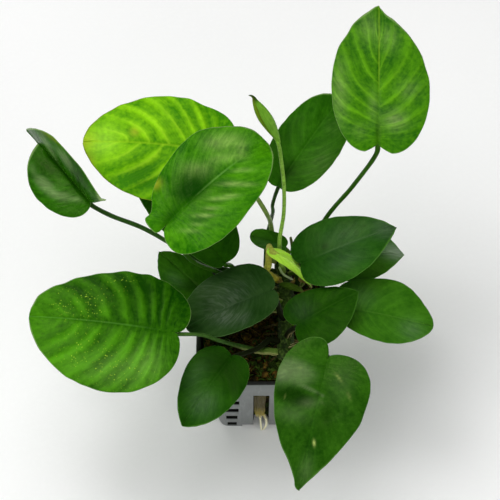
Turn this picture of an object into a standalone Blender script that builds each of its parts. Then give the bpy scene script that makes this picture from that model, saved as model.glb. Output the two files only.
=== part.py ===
"""A young anubias in a small square net pot.

The pot is moulded grey plastic, open at the top, with a tall window in each wall and short slots
beside it. A fibrous plug fills it. The rhizome creeps over the plug from front to back, and every
leaf stands on its own stem, which grows out of the rhizome.

Run with: blender --background --python part.py

Frame: origin on the table under the middle of the pot, +X right, -Y front, +Z up. Lengths in the
tables below are millimetres and angles are degrees, turned to metres and radians where they are used.
"""

from dataclasses import dataclass
from math import cos, pi, radians, sin

import bmesh
import bpy
import numpy as np
from mathutils import Matrix, Vector

MM = 0.001
GAP = 0.3                    # air left between two pieces that touch
SPARE = 1.0                  # how far a cutter runs past what it cuts

# ---- driving dimensions: pot ----------------------------------------------------------------------
POT_TOP = 50.0               # outside width of the rim
POT_BASE = 34.0              # outside width of the foot
POT_HEIGHT = 53.0
POT_WALL = 1.2
POT_FLOOR = 2.2
RIM_DEPTH = 7.5              # height of the thicker band round the top
RIM_PROUD = 0.6              # how far that band stands out, and the height of the step under it
CORNER_TOP = 8.0             # corner radius at the rim
CORNER_BASE = 4.0            # corner radius at the foot
CORNER_STEPS = 5             # flats in each round corner

WINDOW_WIDTH = 6.2
WINDOW_TOP = 39.0
WINDOW_REACH = 5.0           # how far the window runs in under the floor
FOOT_GAP_WIDTH = 15.0        # the wall between the corner feet is lifted off the table
FOOT_GAP_LIFT = 2.0
SLOT_WIDTH = 4.6
SLOT_HEIGHT = 3.6
SLOT_OFFSET = 10.6           # from the middle of the wall to the middle of a slot, at the foot
SLOT_LEVELS = (3.0, 11.4, 20.4, 29.8)

# ---- driving dimensions: plug and rhizome -----------------------------------------------------------
PLUG_EDGE_HEIGHT = 51.0      # level of the plug along the rim
PLUG_CROWN_HEIGHT = 54.0     # level of the plug in the middle
PLUG_LUMP = 0.5              # height of its lumps
PLUG_RINGS = (0.97, 0.75, 0.5, 0.25)     # rings of its top, as shares of its width
PLUG_SIDE_HEIGHTS = (POT_FLOOR + GAP, 25.0, PLUG_EDGE_HEIGHT - 2.0)
ROOT_GROOVE_DEPTH = 3.2      # hollow in the plug behind the front window, where the roots hang
ROOT_GROOVE_SIDE = 0.4       # how much wider than the window it is, on each side

RHIZOME_RADIUS = 3.3
RHIZOME_PATH = ((8.5, -17.0, 58.6), (9.3, -6.0, 58.9), (9.5, 6.0, 59.4), (8.8, 16.0, 60.4), (7.8, 25.5, 62.4))
RHIZOME_STEP = 2.2           # facet length; every second ring is a shallow scar
RHIZOME_SCAR = 0.07          # how much thinner it is there

# ---- driving dimensions: leaves ---------------------------------------------------------------------
BLADE_THICKNESS = 0.9
BLADE_ROWS = 9               # facets along a half outline
BLADE_COLUMNS = 6            # facets across a blade
NOTCH_END, BASE_END = 0.15, 0.5      # where the outline's three arcs meet, from 0 at the stem to 1 at the tip
VEIN_CROWDING = 2.2          # above 1, the veins leave the midrib closer together near the stem
VEIN_BOW = 0.25              # how far a vein has gone forward halfway out, as a share of its run
VEIN_SPREAD = 0.55           # how far out its middle control point lies, as a share of the half width
STEM_RADIUS = 0.9            # at the blade
SHEATH_RADIUS = 1.25         # at the rhizome
SHEATH_LENGTH = 9.0          # over which the sheath narrows to the stem
BUD_GAP = 0.5                # between the rhizome and the end of a stem
BUD_REACH = 2.3              # how far a stem runs straight out of the rhizome
STEM_STEP = 6.0              # facet length along a stem
STEM_REACH = 4.5             # how far a stem comes up under its blade before it bends


@dataclass(frozen=True)
class Tone:
    """Colour and finish of one material."""

    colour: tuple
    roughness: float = 0.4


LIME = Tone((0.23, 0.50, 0.03))
BRIGHT = Tone((0.12, 0.36, 0.03))
MIDDLE = Tone((0.06, 0.23, 0.03))
DARK = Tone((0.025, 0.13, 0.02))
DUSKY = Tone((0.02, 0.07, 0.03), 0.3)
STEM_GREEN = Tone((0.08, 0.20, 0.03), 0.5)
STEM_PALE = Tone((0.20, 0.36, 0.06), 0.5)
STEM_DARK = Tone((0.02, 0.05, 0.02), 0.5)
POT_GREY = Tone((0.27, 0.26, 0.31), 0.55)
PLUG_BROWN = Tone((0.035, 0.022, 0.012), 0.95)
RHIZOME_GREEN = Tone((0.16, 0.17, 0.05), 0.7)
ROOT_CREAM = Tone((0.48, 0.44, 0.20), 0.6)
SHEATH_YELLOW = Tone((0.45, 0.42, 0.10), 0.55)
SHEATH_BROWN = Tone((0.25, 0.13, 0.04), 0.7)


@dataclass(frozen=True)
class Blade:
    """One leaf blade. Pairs are (left half, right half), seen from the stem towards the tip.

    The midrib starts at base, runs along heading, rises at pitch there and turns down by droop over
    its length. Each half rises from it by fold, and curls by cup towards its margin.
    """

    base: tuple              # where the stem meets the blade, mm
    heading: float           # 0 is +X, 90 is +Y
    pitch: float
    length: float
    half_width: tuple
    lobe: tuple = (2.0, 2.0)         # how far the rounded base reaches behind the stem
    notch: tuple = (0.35, 0.35)      # share of the width taken by the notch at the stem
    widest: tuple = (0.35, 0.35)     # where the blade is widest, as a share of its length
    point: tuple = (1.4, 1.4)        # 1 is a rounded tip, 2 a drawn out one
    droop: float = 16.0
    fold: tuple = (6.0, 6.0)
    cup: float = -6.0
    roll: float = 0.0


@dataclass(frozen=True)
class Stem:
    """The leaf stem: where it leaves the rhizome, and the points that it passes."""

    bud: float               # Y of the bud on the rhizome, mm
    clock: float             # 0 is straight up, 90 to the right, -90 to the left
    via: tuple = ()
    radius: float = STEM_RADIUS
    sheath: float = SHEATH_RADIUS
    reach: float = STEM_REACH


@dataclass(frozen=True)
class Leaf:
    """A blade on its stem, with the tone of each."""

    name: str
    blade: Blade
    stem: Stem
    tone: Tone = DARK
    stem_tone: Tone = STEM_GREEN


LEAVES = (
    Leaf("01", Blade((41.7, 35.6, 122), 88, 20, 59, (17.5, 18.7), lobe=(1.0, 1.4), notch=(0.20, 0.22),
                     widest=(0.40, 0.39), point=(1.8, 2.2), droop=20, roll=-4),
         Stem(18.5, 52, ((24.4, 33, 79), (34, 35, 99))), BRIGHT),
    Leaf("02", Blade((6.2, 35.6, 98), 56, 16, 44.5, (12.2, 12.8), lobe=(1.0, 0.7), notch=(0.16, 0.20),
                     widest=(0.47, 0.44), point=(1.0, 1.1), fold=(8, 8), cup=-8, roll=-4),
         Stem(20.0, -85, ((1.8, 27, 62), (2.6, 34.5, 66), (3.5, 37.8, 72), (3.6, 35.8, 80), (3.6, 34.9, 86))),
         DARK, STEM_DARK),
    Leaf("03", Blade((-14.7, 40.7, 112), 172, 8, 52.7, (22.7, 18.6), lobe=(4.2, 3.4), notch=(0.43, 0.42),
                     point=(1.4, 1.15), droop=24, fold=(8, 8), cup=-8, roll=14),
         Stem(23.5, -60, ((4.2, 29.5, 66), (3.6, 35, 71.5), (2, 32.4, 83), (-1.6, 33, 93), (-8, 37, 104))),
         LIME, STEM_PALE),
    Leaf("04", Blade((-33.1, 3.0, 124), 43, 19, 48, (18.2, 18.7), lobe=(4.1, 5.9), notch=(0.18, 0.42),
                     widest=(0.52, 0.25), point=(0.9, 1.15), droop=30, cup=-8, roll=-5),
         Stem(9.5, -72, ((-8, 13.5, 64.5), (-17.5, 14.2, 71.5), (-22.3, 12, 79), (-26, 9.2, 88),
                         (-30.5, 2.8, 112))), BRIGHT),
    Leaf("05", Blade((-63, 23.8, 104), 128, 6, 40.5, (14.3, 15.0), lobe=(1.8, 4.6), notch=(0.41, 0.50),
                     widest=(0.31, 0.38), point=(2.6, 1.7), droop=6, fold=(12, 82), cup=-10, roll=5),
         Stem(12.5, -85, ((-7, 17.5, 63.5), (-19.5, 16.8, 71), (-27, 16.2, 80), (-44, 22.4, 89),
                          (-56, 23.2, 97))), DARK, STEM_DARK),
    Leaf("06", Blade((-32, -16.8, 80), 174, 11, 54, (26.5, 20.0), lobe=(2.8, 4.9), notch=(0.26, 0.34),
                     widest=(0.39, 0.28), point=(1.3, 1.1), droop=18, roll=9),
         Stem(-14.0, -74, ((0, -14, 60.3), (-9, -13.5, 63.5), (-16, -15.6, 71.5), (-22, -16, 76.5)),
              sheath=1.4), MIDDLE),
    Leaf("07", Blade((-18.9, 5.4, 65), 134, 5, 30, (10.8, 7.5), lobe=(3.0, 3.0), notch=(0.45, 0.45),
                     widest=(0.35, 0.33), point=(1.9, 1.9), droop=10, fold=(8, 8), cup=0),
         Stem(4.0, -88, ((-6, 4, 60),)), DARK),
    Leaf("08", Blade((3.4, 2.8, 77), -161, -7, 35, (11.8, 15.2), lobe=(1.8, 2.5), notch=(0.24, 0.18),
                     widest=(0.37, 0.31), point=(1.1, 0.85)),
         Stem(-1.0, -20, ()), DUSKY),
    Leaf("09", Blade((-13.6, 12.9, 80), 133, 22, 47, (11.2, 15.7), lobe=(0.5, 0.6), notch=(0.18, 0.21),
                     widest=(0.57, 0.49), point=(0.75, 0.9), droop=20, fold=(8, 8), cup=-4, roll=-4),
         Stem(6.5, -50, ((-6, 11.5, 68.5), (-11.5, 15.6, 73)), reach=0.0), DARK),
    Leaf("10", Blade((9.4, 26.4, 69), 168, 24, 14.7, (5.4, 4.2), lobe=(0.3, 0.3), notch=(0.42, 0.41),
                     widest=(0.39, 0.40), point=(0.8, 0.8), fold=(14, 14), cup=0),
         Stem(24.5, 25, (), radius=0.7, sheath=0.8), DARK),
    Leaf("11", Blade((15.1, 12.7, 80), 19, 16, 38.2, (12.9, 14.8), lobe=(2.6, 1.7), notch=(0.39, 0.39),
                     point=(2.1, 2.1), droop=14, fold=(7, 7), cup=-4),
         Stem(12.5, 50, ((13.4, 16.8, 68), (14.6, 18.4, 74.6)), reach=0.0), DARK),
    Leaf("12", Blade((24.5, 24.7, 68), 2, -2, 31.2, (14.1, 14.4), notch=(0.45, 0.45), widest=(0.32, 0.31),
                     point=(2.0, 2.0), droop=10, fold=(8, 8), cup=0),
         Stem(15.0, 98, ((17.5, 18.5, 60.5),)), MIDDLE),
    Leaf("13", Blade((31.2, -2.1, 72), -10, 1, 34, (15.2, 11.6), lobe=(3.8, 0.6), notch=(0.40, 0.34),
                     widest=(0.42, 0.43), point=(1.3, 1.2), fold=(5, 5)),
         Stem(-3.5, 70, ((20, -2.5, 62),)), DARK),
    Leaf("14", Blade((13.3, -11.1, 76), 27, 15, 25.6, (10.1, 13.0), lobe=(3.0, 3.0), notch=(0.53, 0.50),
                     widest=(0.20, 0.26), point=(1.8, 1.8), droop=12, cup=-4),
         Stem(-8.5, 12, ()), DARK),
    Leaf("15", Blade((23.6, -30.4, 86), -104, -12, 49, (17.5, 16.4), lobe=(2.1, 6.7), notch=(0.32, 0.26),
                     widest=(0.20, 0.21), point=(2.4, 2.2), droop=30),
         Stem(-13.0, 50, ((17, -17, 67), (22, -24, 77))), BRIGHT, STEM_PALE),
    Leaf("16", Blade((-11.4, -21.7, 70), -128, -11, 31.3, (12.1, 11.6), lobe=(2.2, 1.3), notch=(0.35, 0.33),
                     widest=(0.36, 0.31), point=(1.5, 1.8), fold=(5, 5)),
         Stem(-10.0, -62, ((-2, -15.5, 64.5),)), MIDDLE),
)

# The young leaf has half opened and hangs over, its two halves folded down like a tent.
YOUNG = Leaf("young", Blade((2.1, 16.0, 84), -23, 0, 29, (4.6, 5.4), lobe=(0.4, 0.4), notch=(0.3, 0.3),
                            widest=(0.45, 0.45), point=(1.3, 1.3), droop=90, fold=(-54, -48), cup=10),
             Stem(15.8, -50, ((3.2, 16.6, 70),), radius=0.6, sheath=1.3), LIME, SHEATH_YELLOW)

# The spear is the newest leaf, still rolled up: points along it, each with its radius.
SPEAR_STEM = Stem(18.5, -5, ((7.3, 19.6, 70), (6.8, 23.8, 77), (8.4, 28.9, 88), (8.6, 31.3, 104),
                             (8.0, 32, 118)), radius=0.85)
SPEAR_BASE = (6.6, 33.0, 128.0)
SPEAR_POINTS = ((6.4, 33.4, 129.0, 0.9), (4.8, 34.2, 132.5, 1.5), (2.3, 35.3, 137.5, 2.3),
                (-0.4, 36.6, 143.0, 2.1), (-2.6, 38.0, 148.5, 1.3), (-3.6, 38.8, 152.0, 0.7),
                (-4.2, 39.4, 154.5, 0.25))

# Short pieces at the crown: points along each, with radii.
STUB_POINTS = ((11.8, 22.0, 65.4, 0.8), (12.0, 25.4, 68.6, 0.7), (11.2, 27.6, 74.0, 0.5))
LEFT_SHEATH_POINTS = ((4.6, 17.0, 59.3, 1.0), (2.9, 17.2, 59.2, 1.0), (1.0, 16.8, 58.6, 0.8))
BROWN_SHEATH_POINTS = ((13.6, 8.6, 60.4, 1.2), (16.2, 10.0, 61.4, 1.3), (18.8, 11.0, 61.6, 0.9),
                       (20.6, 11.6, 61.0, 0.4))

# Roots in the front window: x, height and radius, with the tips brought out on the table.
ROOT_STRANDS = (
    ((-1.5, 36.0, 1.0), (-1.7, 26.0, 1.2), (-1.3, 16.0, 1.1), (-0.9, 10.5, 0.5)),
    ((0.1, 37.0, 1.0), (0.2, 26.0, 1.2), (-0.1, 16.0, 1.3), (0.4, 8.0, 1.1), (0.9, 3.4, 0.8),
     (0.5, 0.9, 0.35)),
    ((-0.6, 31.0, 1.1), (-0.4, 20.0, 1.2), (-0.3, 12.0, 0.9)),
    ((0.9, 20.0, 0.9), (1.6, 12.0, 0.8), (2.0, 6.0, 0.7), (1.5, 2.6, 0.55), (0.6, 1.2, 0.35)),
)
ROOT_DEPTH = 1.1             # how far the strands' axes lie behind the outer face of the wall
ROOT_KICK = 3.4              # how far the tips come forward on the table
ROOT_KICK_HEIGHT = 6.0       # where they start to


# ---- scene helpers ----------------------------------------------------------------------------------
def clear_scene():
    """Remove everything that the file opened with."""
    for thing in list(bpy.data.objects):
        bpy.data.objects.remove(thing, do_unlink=True)


def new_collection(name):
    """A collection under the scene's own."""
    collection = bpy.data.collections.new(name)
    bpy.context.scene.collection.children.link(collection)
    return collection


def material(name, tone):
    """A Principled material in one tone."""
    made = bpy.data.materials.new(name)
    made.use_nodes = True
    shader = made.node_tree.nodes["Principled BSDF"]
    shader.inputs["Base Color"].default_value = (*tone.colour, 1.0)
    shader.inputs["Roughness"].default_value = tone.roughness
    shader.inputs["Metallic"].default_value = 0.0
    made.diffuse_color = (*tone.colour, 1.0)
    return made


def add_object(name, data, tone, collection):
    """Link a mesh or curve as a named piece with its own material."""
    piece = bpy.data.objects.new(name, data)
    data.materials.append(material(name, tone))
    collection.objects.link(piece)
    return piece


def mesh_from(name, bm):
    """A mesh from a bmesh, with its faces pointing out."""
    bmesh.ops.recalc_face_normals(bm, faces=bm.faces[:])
    mesh = bpy.data.meshes.new(name)
    bm.to_mesh(mesh)
    bm.free()
    return mesh


def loft(bm, rings):
    """Skin between rings of points that all have the same count, closed with a cap at each end."""
    loops = [[bm.verts.new([c * MM for c in point]) for point in ring] for ring in rings]
    for low, high in zip(loops, loops[1:]):
        for i in range(len(low)):
            j = (i + 1) % len(low)
            bm.faces.new((low[i], low[j], high[j], high[i]))
    bm.faces.new(loops[0][::-1])
    bm.faces.new(loops[-1])


def smooth_path(points, step):
    """Points every step mm or less along a centripetal Catmull-Rom curve through the given ones."""
    given = [np.array(p, float) for p in points]
    padded = [2 * given[0] - given[1], *given, 2 * given[-1] - given[-2]]
    found = []
    for p0, p1, p2, p3 in zip(padded, padded[1:], padded[2:], padded[3:]):
        length = np.linalg.norm((p2 - p1)[:3])
        t1 = np.sqrt(np.linalg.norm(p1 - p0))
        t2 = t1 + np.sqrt(np.linalg.norm(p2 - p1))
        t3 = t2 + np.sqrt(np.linalg.norm(p3 - p2))
        count = max(1, int(np.ceil(length / step)))
        for t in np.linspace(t1, t2, count, endpoint=False):
            a1 = (t1 - t) / t1 * p0 + t / t1 * p1
            a2 = (t2 - t) / (t2 - t1) * p1 + (t - t1) / (t2 - t1) * p2
            a3 = (t3 - t) / (t3 - t2) * p2 + (t - t2) / (t3 - t2) * p3
            b1 = (t2 - t) / t2 * a1 + t / t2 * a2
            b2 = (t3 - t) / (t3 - t1) * a2 + (t - t1) / (t3 - t1) * a3
            found.append((t2 - t) / (t2 - t1) * b1 + (t - t1) / (t2 - t1) * b2)
    found.append(given[-1])
    return found


def tube(name, points, tone, collection):
    """A round piece along points (x, y, z, radius), as a bevelled curve with filled caps."""
    curve = bpy.data.curves.new(name, "CURVE")
    curve.dimensions = "3D"
    curve.bevel_depth = MM
    curve.bevel_resolution = 2
    curve.use_fill_caps = True
    spline = curve.splines.new("POLY")
    spline.points.add(len(points) - 1)
    for knot, (x, y, z, radius) in zip(spline.points, points):
        knot.co = (x * MM, y * MM, z * MM, 1.0)
        knot.radius = radius
    return add_object(name, curve, tone, collection)


def box_cutter(bm, low, high, turn=0.0):
    """A box between two corners in mm, turned about the pot's axis."""
    centre = [(a + b) / 2 * MM for a, b in zip(low, high)]
    size = [(b - a) * MM for a, b in zip(low, high)]
    place = Matrix.Rotation(turn, 4, "Z") @ Matrix.Translation(centre) @ Matrix.Diagonal((*size, 1.0))
    bmesh.ops.create_cube(bm, size=1.0, matrix=place)


def cut(piece, bm, name, collection):
    """Subtract the cutters in bm from a piece."""
    cutter = bpy.data.objects.new(name, mesh_from(name, bm))
    collection.objects.link(cutter)
    cutter.hide_render = True
    cutter.display_type = "WIRE"
    modifier = piece.modifiers.new(name, "BOOLEAN")
    modifier.operation = "DIFFERENCE"
    modifier.object = cutter


# ---- pot and plug -----------------------------------------------------------------------------------
def rounded_square(half, corner, height, wobble=None):
    """Points round a square with round corners, starting on the right side and going anticlockwise."""
    points = []
    for quarter in range(4):
        middle = pi / 4 + quarter * pi / 2
        centre = ((half - corner) * np.sign(cos(middle)), (half - corner) * np.sign(sin(middle)))
        for step in range(CORNER_STEPS + 1):
            angle = quarter * pi / 2 + step / CORNER_STEPS * pi / 2
            points.append((centre[0] + corner * cos(angle), centre[1] + corner * sin(angle), height))
    if wobble is None:
        return points
    return [(x, y, z + wobble(x, y)) for x, y, z in points]


def half_width_at(height):
    """Half the pot's outside width at a height above the table."""
    return (POT_BASE + (POT_TOP - 2 * RIM_PROUD - POT_BASE) * height / POT_HEIGHT) / 2


def corner_at(height):
    """The corner radius at a height."""
    return CORNER_BASE + (CORNER_TOP - CORNER_BASE) * height / POT_HEIGHT


def build_pot(parts, cutters):
    """The moulded pot: one skin down the outside, over the rim, down the inside and across the floor."""
    rim_low = POT_HEIGHT - RIM_DEPTH
    outside = [rounded_square(half_width_at(z), corner_at(z), z) for z in (0.0, rim_low)]
    rim = [rounded_square(half_width_at(z) + RIM_PROUD, corner_at(z), z)
           for z in (rim_low + RIM_PROUD, POT_HEIGHT)]
    inside = [rounded_square(half_width_at(z) - POT_WALL, corner_at(z) - POT_WALL / 2, z)
              for z in (POT_HEIGHT, POT_FLOOR)]
    bm = bmesh.new()
    loft(bm, outside + rim + inside)
    pot = add_object("pot", mesh_from("pot", bm), POT_GREY, parts)

    outer = POT_TOP / 2 + SPARE
    foot_inner = POT_BASE / 2 - WINDOW_REACH
    windows = bmesh.new()
    for quarter in range(4):
        turn = quarter * pi / 2
        low = (-WINDOW_WIDTH / 2, -outer, -SPARE)
        box_cutter(windows, low, (WINDOW_WIDTH / 2, -foot_inner, WINDOW_TOP), turn)
    cut(pot, windows, "window_cutters", cutters)

    feet = bmesh.new()
    slots = bmesh.new()
    for quarter in range(4):
        turn = quarter * pi / 2
        for side in (-1, 1):
            ends = sorted((side * (WINDOW_WIDTH / 2 - SPARE), side * FOOT_GAP_WIDTH / 2))
            box_cutter(feet, (ends[0], -outer, -SPARE), (ends[1], -(foot_inner + SPARE), FOOT_GAP_LIFT), turn)
            for level in SLOT_LEVELS:
                low, high = level - SLOT_HEIGHT / 2, level + SLOT_HEIGHT / 2
                middle = side * SLOT_OFFSET * half_width_at(level) / half_width_at(0.0)
                inner = half_width_at(low) - POT_WALL - SPARE / 2
                box_cutter(slots, (middle - SLOT_WIDTH / 2, -(half_width_at(high) + SPARE), low),
                           (middle + SLOT_WIDTH / 2, -inner, high), turn)
    cut(pot, feet, "foot_cutters", cutters)
    cut(pot, slots, "slot_cutters", cutters)


def plug_lumps(x, y):
    """Height of the plug's lumps over a point of its top."""
    return PLUG_LUMP * (sin(0.43 * x + 0.9) * cos(0.37 * y - 0.4) + 0.5 * sin(0.91 * x - 0.6 * y))


def build_plug(parts, cutters):
    """The growing medium: fills the pot with a gap to its wall and crowns a little over the rim."""
    inset = POT_WALL + GAP
    rings = []
    for z in PLUG_SIDE_HEIGHTS:
        rings.append(rounded_square(half_width_at(z) - inset, corner_at(z) - POT_WALL / 2 - GAP, z))
    edge = half_width_at(PLUG_EDGE_HEIGHT) - inset
    for share in PLUG_RINGS:
        rise = (PLUG_CROWN_HEIGHT - PLUG_EDGE_HEIGHT) * (1 - share ** 2)
        corner = (corner_at(PLUG_EDGE_HEIGHT) - POT_WALL) * share
        rings.append(rounded_square(edge * share, corner, PLUG_EDGE_HEIGHT + rise, plug_lumps))
    bm = bmesh.new()
    loft(bm, rings)
    plug = add_object("growing_medium", mesh_from("growing_medium", bm), PLUG_BROWN, parts)

    half = WINDOW_WIDTH / 2 + ROOT_GROOVE_SIDE
    slabs = []
    for z in (-SPARE, WINDOW_TOP):
        back = -(half_width_at(z) - POT_WALL - ROOT_GROOVE_DEPTH)
        slabs.append([(-half, -POT_TOP, z), (half, -POT_TOP, z), (half, back, z), (-half, back, z)])
    groove = bmesh.new()
    loft(groove, slabs)
    cut(plug, groove, "root_groove_cutter", cutters)


# ---- rhizome and roots ------------------------------------------------------------------------------
def rhizome_centre(y):
    """The rhizome's axis at a distance along Y, from its path."""
    path = np.array(RHIZOME_PATH)
    return np.array([np.interp(y, path[:, 1], path[:, 0]), y, np.interp(y, path[:, 1], path[:, 2])])


def build_rhizome(parts):
    """The creeping stem, swollen between the scars of old leaves and rounded at both ends."""
    points = smooth_path(RHIZOME_PATH, RHIZOME_STEP)
    last = len(points) - 1
    knots = []
    for i, point in enumerate(points):
        ring = 1.0 - RHIZOME_SCAR * (i % 2)
        ends = min(1.0, 0.55 + 0.30 * i, 0.50 + 0.25 * (last - i))
        knots.append((*point, RHIZOME_RADIUS * ring * ends))
    tube("rhizome", knots, RHIZOME_GREEN, parts)


def mesh_of(piece, collection):
    """Turn a curve piece into a mesh piece of the same name, with its caps welded."""
    evaluated = piece.evaluated_get(bpy.context.evaluated_depsgraph_get())
    mesh = bpy.data.meshes.new_from_object(evaluated)
    bm = bmesh.new()
    bm.from_mesh(mesh)
    bmesh.ops.remove_doubles(bm, verts=bm.verts[:], dist=0.00001)
    bmesh.ops.recalc_face_normals(bm, faces=bm.faces[:])
    bm.to_mesh(mesh)
    bm.free()
    name = piece.name
    place = piece.matrix_world.copy()
    bpy.data.objects.remove(piece, do_unlink=True)
    solid = bpy.data.objects.new(name, mesh)
    solid.matrix_world = place
    collection.objects.link(solid)
    return solid


def root_strand(index, strand, collection):
    """One root: it hangs in the window behind the wall's outer face, and a long one kicks out at the foot."""
    points = []
    for x, z, radius in strand:
        kick = ROOT_KICK * max(0.0, 1.0 - z / ROOT_KICK_HEIGHT) ** 1.5
        points.append((x, -(half_width_at(z) - ROOT_DEPTH) - kick, z, radius))
    return tube(f"root_strand_{index}", smooth_path(points, 3.0), ROOT_CREAM, collection)


def build_roots(parts, cutters):
    """The bundle of roots in the front window, joined into one solid."""
    strands = [root_strand(i, strand, parts) for i, strand in enumerate(ROOT_STRANDS)]
    bpy.context.view_layer.update()
    solids = [mesh_of(strand, parts) for strand in strands]
    bundle = solids[0]
    bundle.name = "roots"
    for other in solids[1:]:
        parts.objects.unlink(other)
        cutters.objects.link(other)
        other.hide_render = True
        other.display_type = "WIRE"
        modifier = bundle.modifiers.new(other.name, "BOOLEAN")
        modifier.operation = "UNION"
        modifier.object = other


# ---- leaves -----------------------------------------------------------------------------------------
def margin(blade, half, tau):
    """The outline of one half (0 left, 1 right) at tau from 0, the stem, to 1, the tip.

    Three arcs: the notch, the rounded base out to the widest place, and the side drawn in to the tip.
    Returns the distance out from the midrib and the distance along it, in mm.
    """
    width, lobe = blade.half_width[half], blade.lobe[half]
    notch, widest = blade.notch[half] * width, blade.widest[half] * blade.length
    if tau < NOTCH_END:
        angle = (1 - tau / NOTCH_END) * pi / 2
        return notch * (1 - sin(angle)), -lobe * cos(angle)
    if tau < BASE_END:
        angle = ((tau - NOTCH_END) / (BASE_END - NOTCH_END) - 1) * pi / 2
        return notch + (width - notch) * cos(angle), widest + (widest + lobe) * sin(angle)
    angle = (tau - BASE_END) / (1 - BASE_END) * pi / 2
    return width * max(cos(angle), 0.0) ** blade.point[half], widest + (blade.length - widest) * sin(angle)


def midrib_frame(blade, along):
    """Point on the midrib, an arc that turns down by droop, with its tangent, side and normal."""
    heading, pitch = radians(blade.heading), radians(blade.pitch)
    droop = radians(blade.droop)
    bend = blade.length / droop
    slope = pitch - droop * along / blade.length
    run = bend * (sin(pitch) - sin(slope))
    rise = bend * (cos(slope) - cos(pitch))
    point = Vector(blade.base) + Vector((run * cos(heading), run * sin(heading), rise))
    tangent = Vector((cos(slope) * cos(heading), cos(slope) * sin(heading), sin(slope)))
    level = Vector((sin(heading), -cos(heading), 0.0))
    upright = level.cross(tangent)
    roll = radians(blade.roll)
    side = level * cos(roll) + upright * sin(roll)
    normal = upright * cos(roll) - level * sin(roll)
    return point, tangent, side, normal


def blade_point(blade, across, along):
    """A point of the blade's middle surface, from its flat place: across (right is positive) and along."""
    point, _, side, normal = midrib_frame(blade, along)
    half = 1 if across > 0 else 0
    mean_width = sum(blade.half_width) / 2
    angle = radians(blade.fold[half] + blade.cup * abs(across) / (2 * mean_width))
    return point + side * (across * cos(angle)) + normal * (abs(across) * sin(angle))


def build_blade(name, blade, tone, parts):
    """A blade: a grid bent along its veins, from the midrib out to the margin, given its thickness.

    A grid line leaves the midrib and curves forward, a quadratic Bezier, to the margin point of tau.
    """
    bm = bmesh.new()
    bmesh.ops.create_grid(bm, x_segments=BLADE_COLUMNS, y_segments=BLADE_ROWS, size=1.0)
    for vert in bm.verts:
        across, tau = vert.co.x, (vert.co.y + 1) / 2
        out, end = margin(blade, 1 if across > 0 else 0, tau)
        start = blade.length * tau ** VEIN_CROWDING
        bow = start + VEIN_BOW * (end - start)
        t = abs(across)
        along = (1 - t) ** 2 * start + 2 * t * (1 - t) * bow + t ** 2 * end
        reach = 2 * t * (1 - t) * VEIN_SPREAD * out + t ** 2 * out
        vert.co = blade_point(blade, reach if across > 0 else -reach, along) * MM
    bmesh.ops.remove_doubles(bm, verts=bm.verts[:], dist=0.05 * MM)
    mesh = bpy.data.meshes.new(name)
    bm.to_mesh(mesh)
    bm.free()
    piece = add_object(name, mesh, tone, parts)
    thick = piece.modifiers.new("thickness", "SOLIDIFY")
    thick.thickness = BLADE_THICKNESS * MM
    thick.offset = 0.0
    return piece


def bud_on_rhizome(stem):
    """Where a stem leaves the rhizome, a gap off its skin, and its direction there."""
    out = np.array([sin(radians(stem.clock)), 0.0, cos(radians(stem.clock))])
    return rhizome_centre(stem.bud) + out * (RHIZOME_RADIUS + BUD_GAP), out


def stem_points(stem, end, inward):
    """The stem's route with its radius, from the rhizome through its own points to end."""
    start, out = bud_on_rhizome(stem)
    approach = [end + inward * stem.reach] if stem.reach else []
    route = [start, start + out * BUD_REACH, *stem.via, *approach, end]
    path = smooth_path(route, STEM_STEP)
    lengths = np.cumsum([0.0] + [np.linalg.norm(b - a) for a, b in zip(path, path[1:])])
    points = []
    for point, length in zip(path, lengths):
        swell = np.exp(-length / SHEATH_LENGTH)
        points.append((*point, stem.radius + (stem.sheath - stem.radius) * swell))
    return points


def build_leaf(leaf, parts):
    """A leaf: its blade, and the stem that comes up under the blade's base."""
    build_blade(f"leaf_{leaf.name}", leaf.blade, leaf.tone, parts)
    base, tangent, _, normal = midrib_frame(leaf.blade, 0.0)
    tent = radians(max(0.0, -min(leaf.blade.fold)))
    under = (BLADE_THICKNESS / 2 + GAP + leaf.stem.radius) / cos(tent)
    inward = np.array(-(tangent * 0.6 + normal * 0.8).normalized())
    end = np.array(base - normal * under - tangent * 0.3)
    tube(f"stem_{leaf.name}", stem_points(leaf.stem, end, inward), leaf.stem_tone, parts)


def build_spear(parts):
    """The rolled spear on its stem."""
    tube("leaf_spear", smooth_path(SPEAR_POINTS, 3.5), LIME, parts)
    inward = np.array((0.30, -0.15, -0.94))
    tube("stem_spear", stem_points(SPEAR_STEM, np.array(SPEAR_BASE), inward), STEM_PALE, parts)


def build_crown_pieces(parts):
    """The dry stub and the split sheaths of old leaves at the crown."""
    tube("stub", smooth_path(STUB_POINTS, 4.0), STEM_DARK, parts)
    tube("sheath_left", smooth_path(LEFT_SHEATH_POINTS, 3.0), SHEATH_YELLOW, parts)
    tube("sheath_brown", smooth_path(BROWN_SHEATH_POINTS, 3.0), SHEATH_BROWN, parts)


def main():
    """Build every piece of the plant and its pot."""
    clear_scene()
    parts = new_collection("anubias_in_net_pot")
    cutters = new_collection("cutters")
    build_pot(parts, cutters)
    build_plug(parts, cutters)
    build_rhizome(parts)
    build_roots(parts, cutters)
    for leaf in (*LEAVES, YOUNG):
        build_leaf(leaf, parts)
    build_spear(parts)
    build_crown_pieces(parts)


main()
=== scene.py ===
"""The looks of a young anubias in its square net pot.

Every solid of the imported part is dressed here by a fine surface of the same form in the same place:
blades with veins, a midrib and a wavy margin, stems with open sheaths, a scarred rhizome, a fibrous plug
and a moulded pot. Tables are in millimetres and degrees, and a mesh is written in metres.
"""

import logging
from dataclasses import dataclass, field, replace
from enum import Enum
from functools import partial
from math import cos, pi, radians, sin, tau
from typing import Callable, NamedTuple

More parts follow.
